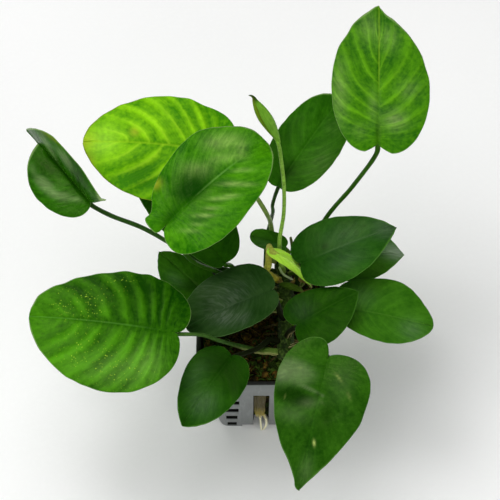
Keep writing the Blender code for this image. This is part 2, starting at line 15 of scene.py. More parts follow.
import bpy
import numpy as np
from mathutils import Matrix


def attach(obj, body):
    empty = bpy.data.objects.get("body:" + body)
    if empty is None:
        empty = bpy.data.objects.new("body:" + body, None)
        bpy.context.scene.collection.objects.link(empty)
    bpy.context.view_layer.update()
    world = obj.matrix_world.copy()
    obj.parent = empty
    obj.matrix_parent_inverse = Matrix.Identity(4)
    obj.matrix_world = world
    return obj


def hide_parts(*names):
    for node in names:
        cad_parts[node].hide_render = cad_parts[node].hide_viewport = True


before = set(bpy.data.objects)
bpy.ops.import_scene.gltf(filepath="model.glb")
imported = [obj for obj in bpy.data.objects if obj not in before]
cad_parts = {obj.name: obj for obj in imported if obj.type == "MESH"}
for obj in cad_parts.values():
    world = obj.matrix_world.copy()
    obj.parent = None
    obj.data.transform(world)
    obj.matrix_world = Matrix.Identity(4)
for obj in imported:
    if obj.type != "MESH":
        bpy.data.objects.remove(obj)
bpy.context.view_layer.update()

LOG = logging.getLogger("anubias")
MM = 0.001
BODY = "root"

# ---- frame of the plant, as in the part ----
POT_TOP, POT_BASE, POT_HEIGHT = 50.0, 34.0, 53.0
POT_WALL, POT_FLOOR = 1.2, 2.2
RIM_DEPTH, RIM_PROUD = 7.5, 0.6
CORNER_TOP, CORNER_BASE = 8.0, 4.0
WINDOW_WIDTH, WINDOW_TOP, WINDOW_REACH = 6.2, 39.0, 5.0
FOOT_GAP_WIDTH, FOOT_GAP_LIFT = 15.0, 2.0
SLOT_HEIGHT = 4.2
SLOTS = ((3.0, 9.8, 13.5), (11.4, 9.4, 13.9), (20.4, 8.9, 14.3), (29.8, 8.6, 14.6))  # level, near and far end
PLUG_EDGE_HEIGHT, PLUG_CROWN_HEIGHT = 51.0, 54.0
ROOT_GROOVE_DEPTH, ROOT_GROOVE_SIDE = 3.2, 0.4
RHIZOME_RADIUS = 3.3
RHIZOME_PATH = ((8.5, -17.0, 58.6), (9.3, -6.0, 58.9), (9.5, 6.0, 59.4), (8.8, 16.0, 60.4), (7.8, 25.5, 62.4))
SOLID_BLADE_THICKNESS, SOLID_GAP = 0.9, 0.3
BUD_GAP, BUD_REACH = 0.5, 2.3


class Slot(Enum):
    """The record's material slots."""

    POT = "pot_plastic"
    PLUG = "growing_plug"
    RHIZOME = "rhizome_bark"
    ROOT = "root"
    LEAF_LIME = "leaf_lime"
    LEAF_BRIGHT = "leaf_bright"
    LEAF_MIDDLE = "leaf_middle"
    LEAF_DARK = "leaf_dark"
    LEAF_DUSKY = "leaf_dusky"
    STEM_GREEN = "stem_green"
    STEM_PALE = "stem_pale"
    STEM_DARK = "stem_dark"
    SHEATH = "sheath_dry"


# ---- arithmetic ----
def unit(vectors: np.ndarray) -> np.ndarray:
    """Vectors over the last axis, each divided by its length."""
    return vectors / np.maximum(np.linalg.norm(vectors, axis=-1, keepdims=True), 1e-9)


def bell(offset: np.ndarray, width: float) -> np.ndarray:
    """A soft bump, exp(-(offset / width)^2): 1 at no offset."""
    return np.exp(-(offset / width) ** 2)


def circle(sides: int) -> np.ndarray:
    """Angles of the points round a profile."""
    return np.arange(sides) / sides * tau


def ease(values: np.ndarray, low: float, high: float) -> np.ndarray:
    """Smoothstep: 0 at low, 1 at high, 3t^2 - 2t^3 between them, where t is the share of the way."""
    share = np.clip((values - low) / (high - low), 0.0, 1.0)
    return share * share * (3.0 - 2.0 * share)


def turned(across: np.ndarray, along: np.ndarray, degrees: float) -> tuple:
    """Flat offsets read along and square to a line that is turned from across to along."""
    c, s = cos(radians(degrees)), sin(radians(degrees))
    return across * c + along * s, along * c - across * s


def smooth_path(points: tuple, step: float) -> np.ndarray:
    """A centripetal Catmull-Rom curve through points: each span is a blend of blends of lines.

    Args:
        points: given points, of three numbers or more, in mm.
        step: longest distance between two points that are returned.
    Returns:
        Points along the curve, the given ones among them.
    """
    given = np.asarray(points, float)
    padded = np.vstack([2 * given[0] - given[1], given, 2 * given[-1] - given[-2]])
    spans = []
    for corners in zip(padded, padded[1:], padded[2:], padded[3:]):
        knots = np.cumsum([0.0, *(np.sqrt(np.linalg.norm(b - a)) for a, b in zip(corners, corners[1:]))])
        count = max(1, int(np.ceil(np.linalg.norm((corners[2] - corners[1])[:3]) / step)))
        t = np.linspace(knots[1], knots[2], count, endpoint=False)[:, None]
        blend = list(corners)
        for reach, starts in ((1, (0, 1, 2)), (2, (0, 1)), (1, (1,))):
            blend = [(knots[i + reach] - t) / (knots[i + reach] - knots[i]) * a
                     + (t - knots[i]) / (knots[i + reach] - knots[i]) * b
                     for i, a, b in zip(starts, blend, blend[1:])]
        spans.append(blend[0])
    return np.vstack([*spans, given[-1:]])


def travel(path: np.ndarray) -> np.ndarray:
    """Distance along a path at each of its points."""
    steps = np.linalg.norm(np.diff(path[..., :3], axis=-2), axis=-1)
    return np.concatenate([np.zeros_like(steps[..., :1]), np.cumsum(steps, -1)], -1)


def lumps(points: np.ndarray, size: float, seed: int) -> np.ndarray:
    """Smooth random height of -1 to 1 at points: the mean of seven sine waves in random directions.

    Args:
        points: places in mm, over the last axis.
        size: typical width of a lump in mm.
        seed: picks the directions and the phases.
    Returns:
        The heights.
    """
    rng = np.random.default_rng(seed)
    waves = 7
    directions = unit(rng.normal(size=(waves, points.shape[-1])))
    lengths = size * rng.uniform(1.3, 3.0, waves)
    turns = points @ (directions / lengths[:, None]).T * tau + rng.uniform(0.0, tau, waves)
    return np.clip(np.sin(turns).sum(-1) / np.sqrt(waves), -1.5, 1.5) / 1.5


# ---- meshes ----
class Shell:
    """Points, faces and fields (a number at each point) gathered for one piece, in mm."""

    def __init__(self) -> None:
        """Start empty."""
        self.points: list[np.ndarray] = []
        self.faces: list[np.ndarray] = []
        self.fields: dict[str, list[np.ndarray]] = {}

    def add_points(self, points: np.ndarray, **fields: np.ndarray) -> np.ndarray:
        """Add an array of points.

        Args:
            points: array (..., 3).
            fields: values that broadcast to the points.
        Returns:
            The points' numbers, in the same array shape.
        """
        shape = points.shape[:-1]
        numbers = sum(map(len, self.points)) + np.arange(int(np.prod(shape))).reshape(shape)
        self.points.append(points.reshape(-1, 3))
        for name, values in fields.items():
            self.fields.setdefault(name, []).append(np.broadcast_to(values, shape).reshape(-1))
        return numbers

    def add_sheet(self, numbers: np.ndarray) -> None:
        """Add quads over a grid of points, facing columns x rows.

        Args:
            numbers: array (..., rows, columns) of point numbers.
        """
        a, b = numbers[..., :-1, :-1], numbers[..., 1:, :-1]
        c, d = numbers[..., 1:, 1:], numbers[..., :-1, 1:]
        self.faces.append(np.stack([a, d, c, b], -1).reshape(-1, 4))

    def add_fan(self, centre: np.ndarray, ring: np.ndarray) -> None:
        """Triangles from a centre's number to each side of a ring of numbers that ends where it starts."""
        corners = np.broadcast_arrays(centre[..., None], ring[..., :-1], ring[..., 1:])
        self.faces.append(np.stack(corners, -1).reshape(-1, 3))

    def add_rings(self, rings: np.ndarray, first: np.ndarray, last: np.ndarray, **fields: np.ndarray) -> None:
        """A closed skin over rings of points, with each end gathered into one point.

        Args:
            rings: array (..., rings, points of a ring, 3).
            first: array (..., 3), the point that closes the start.
            last: array (..., 3), the point that closes the end.
            fields: values that broadcast to the rings' points.
        """
        numbers = self.add_points(rings, **fields)
        wrapped = np.concatenate([numbers, numbers[..., :1]], -1)
        self.add_sheet(wrapped)
        for point, row, way in ((first, 0, -1), (last, -1, 1)):
            ends = {name: np.broadcast_to(values, numbers.shape)[..., row, :].mean(-1)
                    for name, values in fields.items()}
            self.add_fan(self.add_points(point, **ends), wrapped[..., row, ::way])

    def build(self, name: str, material: bpy.types.Material) -> bpy.types.Object:
        """Write the mesh and link it as a smooth-shaded piece at the origin.

        Args:
            name: the piece's name.
            material: its only material.
        Returns:
            The new object.
        """
        points = np.concatenate(self.points) * MM
        sizes = np.concatenate([np.full(len(faces), faces.shape[1]) for faces in self.faces])
        corners = np.concatenate([faces.ravel() for faces in self.faces])
        mesh = bpy.data.meshes.new(name)
        mesh.vertices.add(len(points))
        mesh.vertices.foreach_set("co", points.ravel())
        mesh.loops.add(len(corners))
        mesh.loops.foreach_set("vertex_index", corners.astype(np.int32))
        mesh.polygons.add(len(sizes))
        mesh.polygons.foreach_set("loop_start", (np.cumsum(sizes) - sizes).astype(np.int32))
        mesh.update(calc_edges=True)
        for key, values in self.fields.items():
            write_field(mesh, key, np.concatenate(values))
        mesh.shade_smooth()
        mesh.materials.append(material)
        return link(bpy.data.objects.new(name, mesh))


def write_field(mesh: bpy.types.Mesh, name: str, values: np.ndarray) -> None:
    """Give a mesh an attribute: one number at each point."""
    mesh.attributes.new(name, "FLOAT", "POINT").data.foreach_set("value", values.astype(np.float32))


def link(thing: bpy.types.Object) -> bpy.types.Object:
    """Put an object into the scene."""
    bpy.context.scene.collection.objects.link(thing)
    return thing


def sweep(shell: Shell, paths: np.ndarray, radii: np.ndarray, sides: int, shape: np.ndarray = 1.0,
          **fields: np.ndarray) -> None:
    """Carry a round profile along paths and close its ends.

    A point is path + radius * shape * (first * cos a + second * sin a). First is the direction in which the
    path's points spread least, made square to the path, and second is tangent x first.

    Args:
        shell: receives the skin.
        paths: array (..., points, 3).
        radii: array (..., points).
        sides: points of the profile.
        shape: factors that broadcast to (..., points, sides), to make the profile other than round.
        fields: values that broadcast to (..., points, sides).
    """
    centred = paths - paths.mean(-2, keepdims=True)
    flattest = np.linalg.svd(centred, full_matrices=False)[2][..., 2:3, :]
    tangent = unit(np.gradient(paths, axis=-2))
    first = unit(flattest - (flattest * tangent).sum(-1, keepdims=True) * tangent)
    second = np.cross(tangent, first)
    angle = circle(sides)[:, None]
    around = first[..., None, :] * np.cos(angle) + second[..., None, :] * np.sin(angle)
    reach = np.broadcast_to(radii[..., None] * shape, around.shape[:-1])
    rings = paths[..., None, :] + around * reach[..., None]
    shell.add_rings(rings, paths[..., 0, :], paths[..., -1, :], **fields)


def dress(piece: bpy.types.Object, slot: Slot, *nodes: str) -> None:
    """Ride a piece on the body and, where nodes are given, put it in their place.

    Args:
        piece: the finished piece.
        slot: its material slot; not used.
        nodes: the part's nodes that it replaces.
    """
    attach(piece, BODY)
    if nodes:
        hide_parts(*nodes)
    LOG.info("%s: %d faces, in place of %s", piece.name, len(piece.data.polygons),
             ", ".join(nodes) or "nothing")


# ---- materials ----
def linear(colour: str) -> tuple:
    """An sRGB hex colour as a linear RGBA tuple: c/12.92 under 0.04045, else ((c+0.055)/1.055)^2.4."""
    parts = [int(colour[i:i + 2], 16) / 255 for i in (1, 3, 5)]
    return (*(c / 12.92 if c <= 0.04045 else ((c + 0.055) / 1.055) ** 2.4 for c in parts), 1.0)


def feed(tree: bpy.types.NodeTree, node: bpy.types.Node, inputs: dict | tuple) -> None:
    """Link or set a node's inputs.

    Args:
        tree: the tree that the node is in.
        node: the node to feed.
        inputs: a value, an sRGB hex colour or another node's output, by the input's name or number, or in
            the order of the inputs.
    """
    for name, value in inputs.items() if isinstance(inputs, dict) else enumerate(inputs):
        if isinstance(value, bpy.types.NodeSocket):
            tree.links.new(value, node.inputs[name])
        else:
            node.inputs[name].default_value = linear(value) if isinstance(value, str) else value


def add_node(tree: bpy.types.NodeTree, kind: str, inputs: dict | tuple = (), out: str | int = 0,
             **settings: object) -> bpy.types.NodeSocket:
    """Add a node with its settings and links.

    Args:
        tree: the material's nodes.
        kind: the node's type, without its first word.
        inputs: what feeds it.
        out: which output to return.
        settings: the node's properties.
    Returns:
        One of its outputs.
    """
    node = tree.nodes.new(f"ShaderNode{kind}")
    for name, value in settings.items():
        setattr(node, name, value)
    feed(tree, node, inputs)
    return node.outputs[out]


def per_mm(length: float) -> float:
    """The scale at which a pattern on Object coordinates repeats about every length mm."""
    return 1.0 / (length * MM)


TIMES, PLUS, TIMES_PLUS = {"operation": "MULTIPLY"}, {"operation": "ADD"}, {"operation": "MULTIPLY_ADD"}
SIZE, ZIGZAG = {"operation": "ABSOLUTE"}, {"operation": "PINGPONG"}
EASED = {"interpolation_type": "SMOOTHSTEP"}
GLOSS_TINT = (0.70, 0.95, 0.30, 1.0)      # wet green tissue colours what it reflects


class Pattern(NamedTuple):
    """What a finish feeds its shader: numbers, or the outputs of nodes."""

    ground: str                  # colour under all the layers
    layers: list                 # (mask, colour), each laid over the last
    gloss: object                # roughness
    height: object               # what the bump follows
    strength: float              # of the bump
    depth: float                 # of the bump, mm
    shade: object = 1.0          # factor on the colour


class Finish:
    """What every finish shares: one Principled shader, fed by the finish's own pattern."""

    specular: float
    tint = (1.0, 1.0, 1.0, 1.0)

    def material(self, name: str) -> bpy.types.Material:
        """Make the material: constants are set on the shader itself, and patterns linked to it.

        Args:
            name: the material's name.
        Returns:
            The new material.
        """
        material = bpy.data.materials.new(name)
        material.use_nodes = True
        tree = material.node_tree
        node = partial(add_node, tree)
        pattern = self.pattern(node, node("TexCoord", out="Object"))
        colour = pattern.ground
        for mask, over in pattern.layers:
            colour = node("Mix", {0: mask, 6: colour, 7: over}, out=2, data_type="RGBA")
        if pattern.shade != 1.0:
            colour = node("VectorMath", {0: colour, "Scale": pattern.shade}, operation="SCALE")
        relief = {"Height": pattern.height, "Strength": pattern.strength, "Distance": pattern.depth * MM}
        feed(tree, tree.nodes["Principled BSDF"], {
            "Base Color": colour, "Roughness": pattern.gloss, "Normal": node("Bump", relief, out="Normal"),
            "Specular IOR Level": self.specular, "Specular Tint": self.tint})
        return material


@dataclass(frozen=True)
class LeafSkin(Finish):
    """Living leaf under a thin wax cuticle, ribbed along its side veins.

    It gives the eye a satin green, deep between the ribs and lighter along them as painted shade of the
    relief, streaked the way the veins run, with a fine pale midrib, a pale margin that is partly a painted
    highlight and, from below, a paler dull side; pale patches of painted highlight lie over it in places.
    """

    deep: str
    light: str
    vein: str
    midrib: str
    # rim: the margin's pale line, partly its own paler edge and partly a painted highlight
    rim: str = "#7d9c58"
    under: str = "#55823a"
    blush: str = "#c9c23a"
    shadow: str = "#0c2c02"
    dot: str = "#b4d83c"
    roughness: float = 0.36
    base: float = 0.30           # where the green lies from deep to light between the ribs
    contrast: float = 0.6        # how far the painted light on a rib's crest lightens it
    streaks: float = 0.5         # how far it changes from strand to strand along the veins
    clouds: float = 0.5          # slow unevenness of the green
    mottle: float = 0.28         # fine unevenness of the green
    vein_strength: float = 0.35
    midrib_strength: float = 0.55
    midrib_width: float = 0.5
    midrib_span: tuple = (0.2, 1.2)   # shares of the length between which the midrib is pale
    speckle: float = 0.0         # share of the pin-head yellow dots that show
    specular: float = 0.10
    sheen: str = "#e2eca4"       # pale colour of the painted highlights
    strokes: float = 0.0         # how far the veins break the painted highlights into strokes
    tint = GLOSS_TINT

    def pattern(self, node: Callable, place: bpy.types.NodeSocket) -> Pattern:
        """Nodes on the blade's fields: level = rib * contrast + base + noises picks from deep to light.

        A vein shows where the veins' phase is near a whole number, and a branch at six times the phase. The
        rib's share is painted shade of the relief, and pale painted highlights are laid where their field is
        high.

        Args:
            node: adds a node to the material.
            place: Object coordinates.
        Returns:
            What feeds the shader.
        """
        at = {key: node("Attribute", out="Fac", attribute_name=key)
              for key in ("phase", "rib", "share", "across", "margin", "below", "way",
                          "blush", "shade", "sheen", "specks")}
        cloud, mottle, grain = (node("TexNoise", {"Vector": place, "Scale": per_mm(size), "Detail": detail})
                                for size, detail in ((9.0, 3.0), (1.5, 4.0), (0.55, 2.0)))
        strand = node("CombineXYZ", (at["phase"], at["share"]))
        strand = node("VectorMath", (strand, (4.0, 3.4, 1.0)), **TIMES)
        streak = node("TexNoise", {"Vector": strand, "Scale": 1.0, "Detail": 3.0, "Distortion": 0.6})
        bend = node("Math", (mottle, 0.16, at["phase"]), **TIMES_PLUS)
        fade = node("MapRange", (node("Math", (at["share"],), **SIZE), 0.35, 0.95, self.vein_strength, 0.05))
        fade = node("Math", (fade, node("MapRange", (at["way"], 0.08, 0.35))), **TIMES)
        lines = []
        for phase, width, strength, settings in (
                (bend, 0.14, 1.0, EASED), (node("Math", (bend, 6.0), **TIMES), 0.4, 0.18, {})):
            zigzag = node("Math", (phase, 0.5), **ZIGZAG)
            mask = node("MapRange", (zigzag, 0.0, width, strength, 0.0), **settings)
            lines.append(node("Math", (mask, fade), **TIMES))
        # painted shade of the relief: a rib's crest lighter and its trough deeper; the rib field also carries
        # the bright and dull patches
        level = node("Math", (at["rib"], self.contrast, self.base), **TIMES_PLUS)
        for noise, swing in ((streak, self.streaks), (cloud, self.clouds), (mottle, self.mottle)):
            part = node("MapRange", (noise, 0.25, 0.75, -swing / 2, swing / 2))
            level = node("Math", (level, part), use_clamp=noise is mottle, **PLUS)
        midrib = node("MapRange", (node("Math", (at["across"],), **SIZE), 0.1, self.midrib_width,
                                   self.midrib_strength, 0.0), **EASED)
        first, last = self.midrib_span
        for full, none in ((first + 0.1, first - 0.1), (last - 0.1, last + 0.1)):
            midrib = node("Math", (midrib, node("MapRange", (at["way"], none, full))), **TIMES)
        # painted highlights: pale colour laid where the blade's painted sheen field is high, broken into
        # strokes along the veins
        stroke = node("MapRange", (streak, 0.46, 0.62, 1.0 - self.strokes, 1.0))
        painted_highlight = node("Math", (at["sheen"], stroke), **TIMES)
        # the margin's pale line, partly its own colour and partly a painted highlight
        rim = node("MapRange", (at["margin"], 0.05, 0.24, 0.8, 0.0), **EASED)
        layers = [(level, self.light), *((line, self.vein) for line in lines), (at["shade"], self.shadow),
                  (painted_highlight, self.sheen), (midrib, self.midrib), (at["blush"], self.blush), (rim, self.rim)]
        if self.speckle:
            cell = node("TexVoronoi", {"Vector": place, "Scale": per_mm(1.05)}, out="Distance")
            patch = node("TexNoise", {"Vector": place, "Scale": per_mm(4.0)})
            where = node("MapRange", (patch, 0.48, 0.60, 0.3, self.speckle))
            where = node("Math", (where, at["specks"]), **TIMES)
            dots = node("Math", (node("MapRange", (cell, 0.12, 0.24, 1.0, 0.0)), where), **TIMES)
            layers.append((dots, self.dot))
        gloss = node("MapRange", (mottle, 0.25, 0.75, self.roughness - 0.05, self.roughness + 0.09))
        height = node("Math", (streak, 1.6, grain), **TIMES_PLUS)
        for pattern, share in ((lines[1], 1.2), (mottle, 1.4)):
            height = node("Math", (pattern, share, height), **TIMES_PLUS)
        return Pattern(self.deep, [*layers, (at["below"], self.under)],
                       node("Math", (at["below"], 0.2, gloss), **TIMES_PLUS), height, 0.5, 0.12)


@dataclass(frozen=True)
class StemSkin(Finish):
    """Fresh leaf stem, grown smooth and juicy, with a dry papery sheath at its foot.

    It gives the eye a soft satin green with long faint streaks, pale and straw-coloured low down.
    """

    foot: str
    colour: str
    head: str
    lip: str = "#b7ae78"
    roughness: float = 0.42
    foot_length: float = 9.0
    specular = 0.10
    tint = GLOSS_TINT

    def pattern(self, node: Callable, place: bpy.types.NodeSocket) -> Pattern:
        """Nodes on the stem's fields: mm climbed from the foot, share of the way to the head, and turn.

        Args:
            node: adds a node to the material.
            place: Object coordinates.
        Returns:
            What feeds the shader.
        """
        climb, way, turn, lip = (node("Attribute", out="Fac", attribute_name=key)
                                 for key in ("climb", "way", "turn", "lip"))
        streak = node("TexNoise", {"Vector": node("CombineXYZ", (turn, climb)), "Scale": 1.0, "Detail": 2.0})
        blotch = node("TexNoise", {"Vector": place, "Scale": per_mm(4.0), "Detail": 2.0})
        low = node("MapRange", (climb, self.foot_length * 0.2, self.foot_length, 1.0, 0.0))
        high = node("MapRange", (way, 0.8, 1.0))
        shade = node("Math", (node("MapRange", (streak, 0.3, 0.7, 0.72, 1.28)),
                              node("MapRange", (blotch, 0.3, 0.7, 0.85, 1.15))), **TIMES)
        gloss = node("MapRange", (low, 0.0, 1.0, self.roughness, self.roughness + 0.2))
        return Pattern(self.colour, [(high, self.head), (low, self.foot), (lip, self.lip)], gloss, streak,
                       0.3, 0.1, shade)


@dataclass(frozen=True)
class RawSurface(Finish):
    """A rough natural surface, such as bark, coir, moss, perlite or card, in three mottled colours.

    It gives the eye dark and middle patches with light flecks, and a grain that breaks its dull gloss.
    """

    dark: str
    middle: str
    light: str
    roughness: float
    patch: float                 # size of its patches, mm
    grain: float                 # size of its grain, mm
    relief: float                # height of its grain, mm
    specular: float = 0.15

    def pattern(self, node: Callable, place: bpy.types.NodeSocket) -> Pattern:
        """Nodes: large noise picks dark or middle, fine noise adds light, and grain drives bump and gloss.

        Args:
            node: adds a node to the material.
            place: Object coordinates.
        Returns:
            What feeds the shader.
        """
        patch, grain = (node("TexNoise", {"Vector": place, "Scale": per_mm(size), "Detail": detail})
                        for size, detail in ((self.patch, 4.0), (self.grain, 3.0)))
        layers = [(node("MapRange", (patch, 0.38, 0.62)), self.middle),
                  (node("MapRange", (grain, 0.45, 0.75)), self.light)]
        gloss = node("MapRange", (grain, 0.0, 1.0, self.roughness - 0.1, self.roughness + 0.1))
        return Pattern(self.dark, layers, gloss, grain, 0.6, self.relief)


@dataclass(frozen=True)
class MossyPeat(Finish):
    """Wet peat with bark crumbs in it and a film of moss over it.

    It gives the eye a near-black brown with rust-brown crumbs, a few of straw, and olive-green patches.
    """

    peat: str = "#0d0906"
    brown: str = "#40300f"
    rust: str = "#725222"
    moss: str = "#2e420d"
    straw: str = "#847838"
    specular = 0.15

    def pattern(self, node: Callable, place: bpy.types.NodeSocket) -> Pattern:
        """Nodes: each colour is laid over the last one where a noise of its own size is high.

        Args:
            node: adds a node to the material.
            place: Object coordinates.
        Returns:
            What feeds the shader.
        """
        layers, height = [], 0.0
        for size, low, high, over in ((2.6, 0.44, 0.58, self.brown), (1.8, 0.57, 0.64, self.rust),
                                      (5.0, 0.46, 0.58, self.moss), (1.2, 0.66, 0.72, self.straw)):
            noise = node("TexNoise", {"Vector": place, "Scale": per_mm(size), "Detail": 4.0})
            layers.append((node("MapRange", (noise, low, high)), over))
            height = node("Math", (noise, size, height), **TIMES_PLUS)
        return Pattern(self.peat, layers, 0.8, height, 0.8, 0.3)


@dataclass(frozen=True)
class RootSkin(Finish):
    """Water roots, grown soft and matt, brown where they are old and cream at the growing tips.

    They give the eye an olive-brown bundle that pales to yellow and then near white at the foot.
    """

    old: str = "#453c12"
    middle: str = "#95862c"
    tip: str = "#f2edca"
    heights: tuple = (13.0, 19.0, 30.0)       # at which the tips end, the middle shows and age begins, mm
    specular = 0.35

    def pattern(self, node: Callable, place: bpy.types.NodeSocket) -> Pattern:
        """Nodes: height above the table picks the colour, and fine noise the fuzz.

        Args:
            node: adds a node to the material.
            place: Object coordinates.
        Returns:
            What feeds the shader.
        """
        fuzz = node("TexNoise", {"Vector": place, "Scale": per_mm(0.8), "Detail": 3.0})
        level = node("Math", (fuzz, 12.0 * MM, node("SeparateXYZ", (place,), out="Z")), **TIMES_PLUS)
        tips, middle, age = (height * MM for height in self.heights)
        layers = [(node("MapRange", (level, tips, middle)), self.middle),
                  (node("MapRange", (level, middle, age)), self.old)]
        return Pattern(self.tip, layers, 0.6, fuzz, 0.5, 0.15)


@dataclass(frozen=True)
class PottingPlastic(Finish):
    """Injection-moulded recycled polypropylene, an even cool grey.

    It gives the eye a dull satin skin with a faint leathery grain, light scuffs, a little dark grime and,
    in the recesses, painted shade, near black, on what lies behind the outer face.
    """

    colour: str = "#767a79"
    worn: str = "#95979a"
    grime: str = "#54544e"
    hollow: str = "#0b0906"      # painted shade, near black, on what lies behind the outer face
    specular = 0.45

    def pattern(self, node: Callable, place: bpy.types.NodeSocket) -> Pattern:
        """Nodes: flow noise and upright scuffs tone the grey, and fine grain breaks the gloss.

        Depth behind the outer face lays on painted shade, near black.

        Args:
            node: adds a node to the material.
            place: Object coordinates.
        Returns:
            What feeds the shader.
        """
        upright = node("Mapping", {"Vector": place, "Scale": (1.0, 1.0, 0.12)})
        flow, grain, scuff = (node("TexNoise", {"Vector": vector, "Scale": per_mm(size), "Detail": detail})
                              for vector, size, detail in ((place, 14.0, 4.0), (place, 0.35, 2.0),
                                                           (upright, 1.8, 3.0)))
        recess = node("Attribute", out="Fac", attribute_name="recess")
        layers = [(node("MapRange", (mask, low, high, 0.0, most)), over) for mask, low, high, most, over in (
            (scuff, 0.56, 0.72, 0.5, self.worn), (flow, 0.52, 0.72, 0.45, self.grime),
            # painted shade behind the outer face
            (recess, 0.14, 0.36, 0.97, self.hollow))]
        gloss = node("MapRange", (grain, 0.0, 1.0, 0.36, 0.56))
        return Pattern(self.colour, layers, gloss, grain, 0.25, 0.05)


# a grey painted highlight, for the darker skins
PAINTED_GREY_SHEEN = "#dce2d8"
# painted light: coloured lighter than the tissue against its shade, with a painted highlight on the crease
YOUNG = LeafSkin("#78c81a", "#c2fa4a", "#b4e85a", "#c8f07c", rim="#a8cc62", under="#6fa030", contrast=0.2,
                 base=0.9, streaks=0.3, clouds=0.3, midrib_strength=0.3, midrib_width=1.1, specular=0.2)
ROLLED = LeafSkin("#4c8612", "#84b83c", "#9cc85c", "#8fbc50", blush="#8a8c1c", shadow="#1c2e06", contrast=0.3,
                  streaks=0.6, clouds=0.4, specular=0.12)
LIME = LeafSkin("#367e04", "#90d414", "#a8dc28", "#a0d020", rim="#7d8a1e", under="#7fae40", base=0.25,
                contrast=0.62, streaks=0.25, mottle=0.4, midrib_strength=0.3, midrib_width=0.8, specular=0.08)
BRIGHT = LeafSkin("#1a5c02", "#56a00c", "#58a018", "#86bc5c", contrast=0.08, streaks=0.4, vein_strength=0.05,
                  clouds=0.7, midrib_strength=0.22, midrib_width=0.6, midrib_span=(0.38, 0.68), specular=0.12,
                  shadow="#0a3a01", roughness=0.24, sheen="#d8e890", strokes=0.4)
FRESH = LeafSkin("#1c5806", "#58990e", "#78b41c", "#8cb428", contrast=0.46, base=0.26, vein_strength=0.25,
                 streaks=0.3, mottle=0.45, midrib_strength=0.32, midrib_span=(0.42, 1.2), roughness=0.30,
                 strokes=0.4)
RIBBED = LeafSkin("#124402", "#549e12", "#5aa016", "#5a9438", contrast=0.52, base=0.25, speckle=0.9,
                  streaks=0.25, clouds=0.3, mottle=0.25, vein_strength=0.12, midrib_strength=0.25,
                  roughness=0.30, strokes=0.3)
DARK = LeafSkin("#184a03", "#38740e", "#3a7414", "#447820", contrast=0.22, vein_strength=0.12, streaks=0.3,
                mottle=0.35, midrib_strength=0.2, specular=0.08, strokes=0.5)
GLOSSY = LeafSkin("#103c02", "#3a800a", "#2f6808", "#1c4a06", contrast=0.1, streaks=0.3, vein_strength=0.05,
                  clouds=0.35, specular=0.14, roughness=0.22, sheen="#d2e8a6", strokes=0.3)
DEEP = LeafSkin("#0f3a02", "#2c5e0a", "#2e5a0e", "#38641c", rim="#4c7c2c", contrast=0.15, vein_strength=0.08,
                streaks=0.25, midrib_strength=0.15, specular=0.08, sheen=PAINTED_GREY_SHEEN, strokes=0.3)
# painted light: a lighter copy of DEEP for the low leaves, which lie in the shade of the others
LOWER = replace(DEEP, deep="#225408", light="#468018", vein="#437a1e", midrib="#5c8c34", specular=0.10)
SATIN = replace(DEEP, deep="#123e06", light="#306416", midrib="#6a8c5c", midrib_width=0.9, roughness=0.30)
# painted light: a lighter copy of DEEP for a leaf in the shade of the leaves over it
DEEP_PAINTED_LIGHT = replace(DEEP, deep="#265c0a", light="#4c8c20")
INNER = replace(DEEP, deep="#0b3202", light="#285608", rim="#3c6a20")
DUSKY = LeafSkin("#1a3c10", "#345426", "#3a5430", "#56704c", contrast=0.15, vein_strength=0.1, streaks=0.4,
                 clouds=0.6, midrib_strength=0.12, rim="#4c6c3c", roughness=0.32, specular=0.14,
                 sheen=PAINTED_GREY_SHEEN, strokes=0.6)
CORDATE = LeafSkin("#143e04", "#386c12", "#3a741c", "#346e16", rim="#4f7c30", blush="#b4c46a", contrast=0.1,
                   streaks=0.3, vein_strength=0.06, midrib_strength=0.1, specular=0.14, roughness=0.25,
                   sheen="#dcecb4", strokes=0.2)

STEM_GREEN = StemSkin("#4c6a1a", "#2e5a10", "#26480e")
STEM_PALE = StemSkin("#8fb048", "#8cbc48", "#72a434")
STEM_OLIVE = StemSkin("#98aa5c", "#7c9848", "#688634")
STEM_DARK = StemSkin("#34471e", "#2c4e1c", "#203c12")
STEM_SHADED = StemSkin("#1b2a0c", "#1c300c", "#1c340c")
# painted shade: a near black copy of the stem green for stems deep in the crown's shade
STEM_PAINTED_SHADE = StemSkin("#14160a", "#141a0a", "#16240a")
SHEATH_SPLIT = StemSkin("#56702c", "#3c5f26", "#33581a", lip="#b4ae70", foot_length=14.0)
SHEATH_DRY = StemSkin("#b6aa3c", "#bcbc4a", "#a8c050", roughness=0.6)
SHEATH_BROWN = StemSkin("#5c4420", "#7c6034", "#a89868", roughness=0.65)
SHEATH_CURLED = StemSkin("#847040", "#8c7840", "#a49a64", roughness=0.65, foot_length=3.0)
BUD_SCALE = StemSkin("#3c5a14", "#4c6a1e", "#6a7c34", roughness=0.6, foot_length=3.0)
STEM_STUB = StemSkin("#4a5426", "#5c6a34", "#6f7444", roughness=0.6)
STRAND_PALE = StemSkin("#a8c078", "#b9cc92", "#d3dcb8")


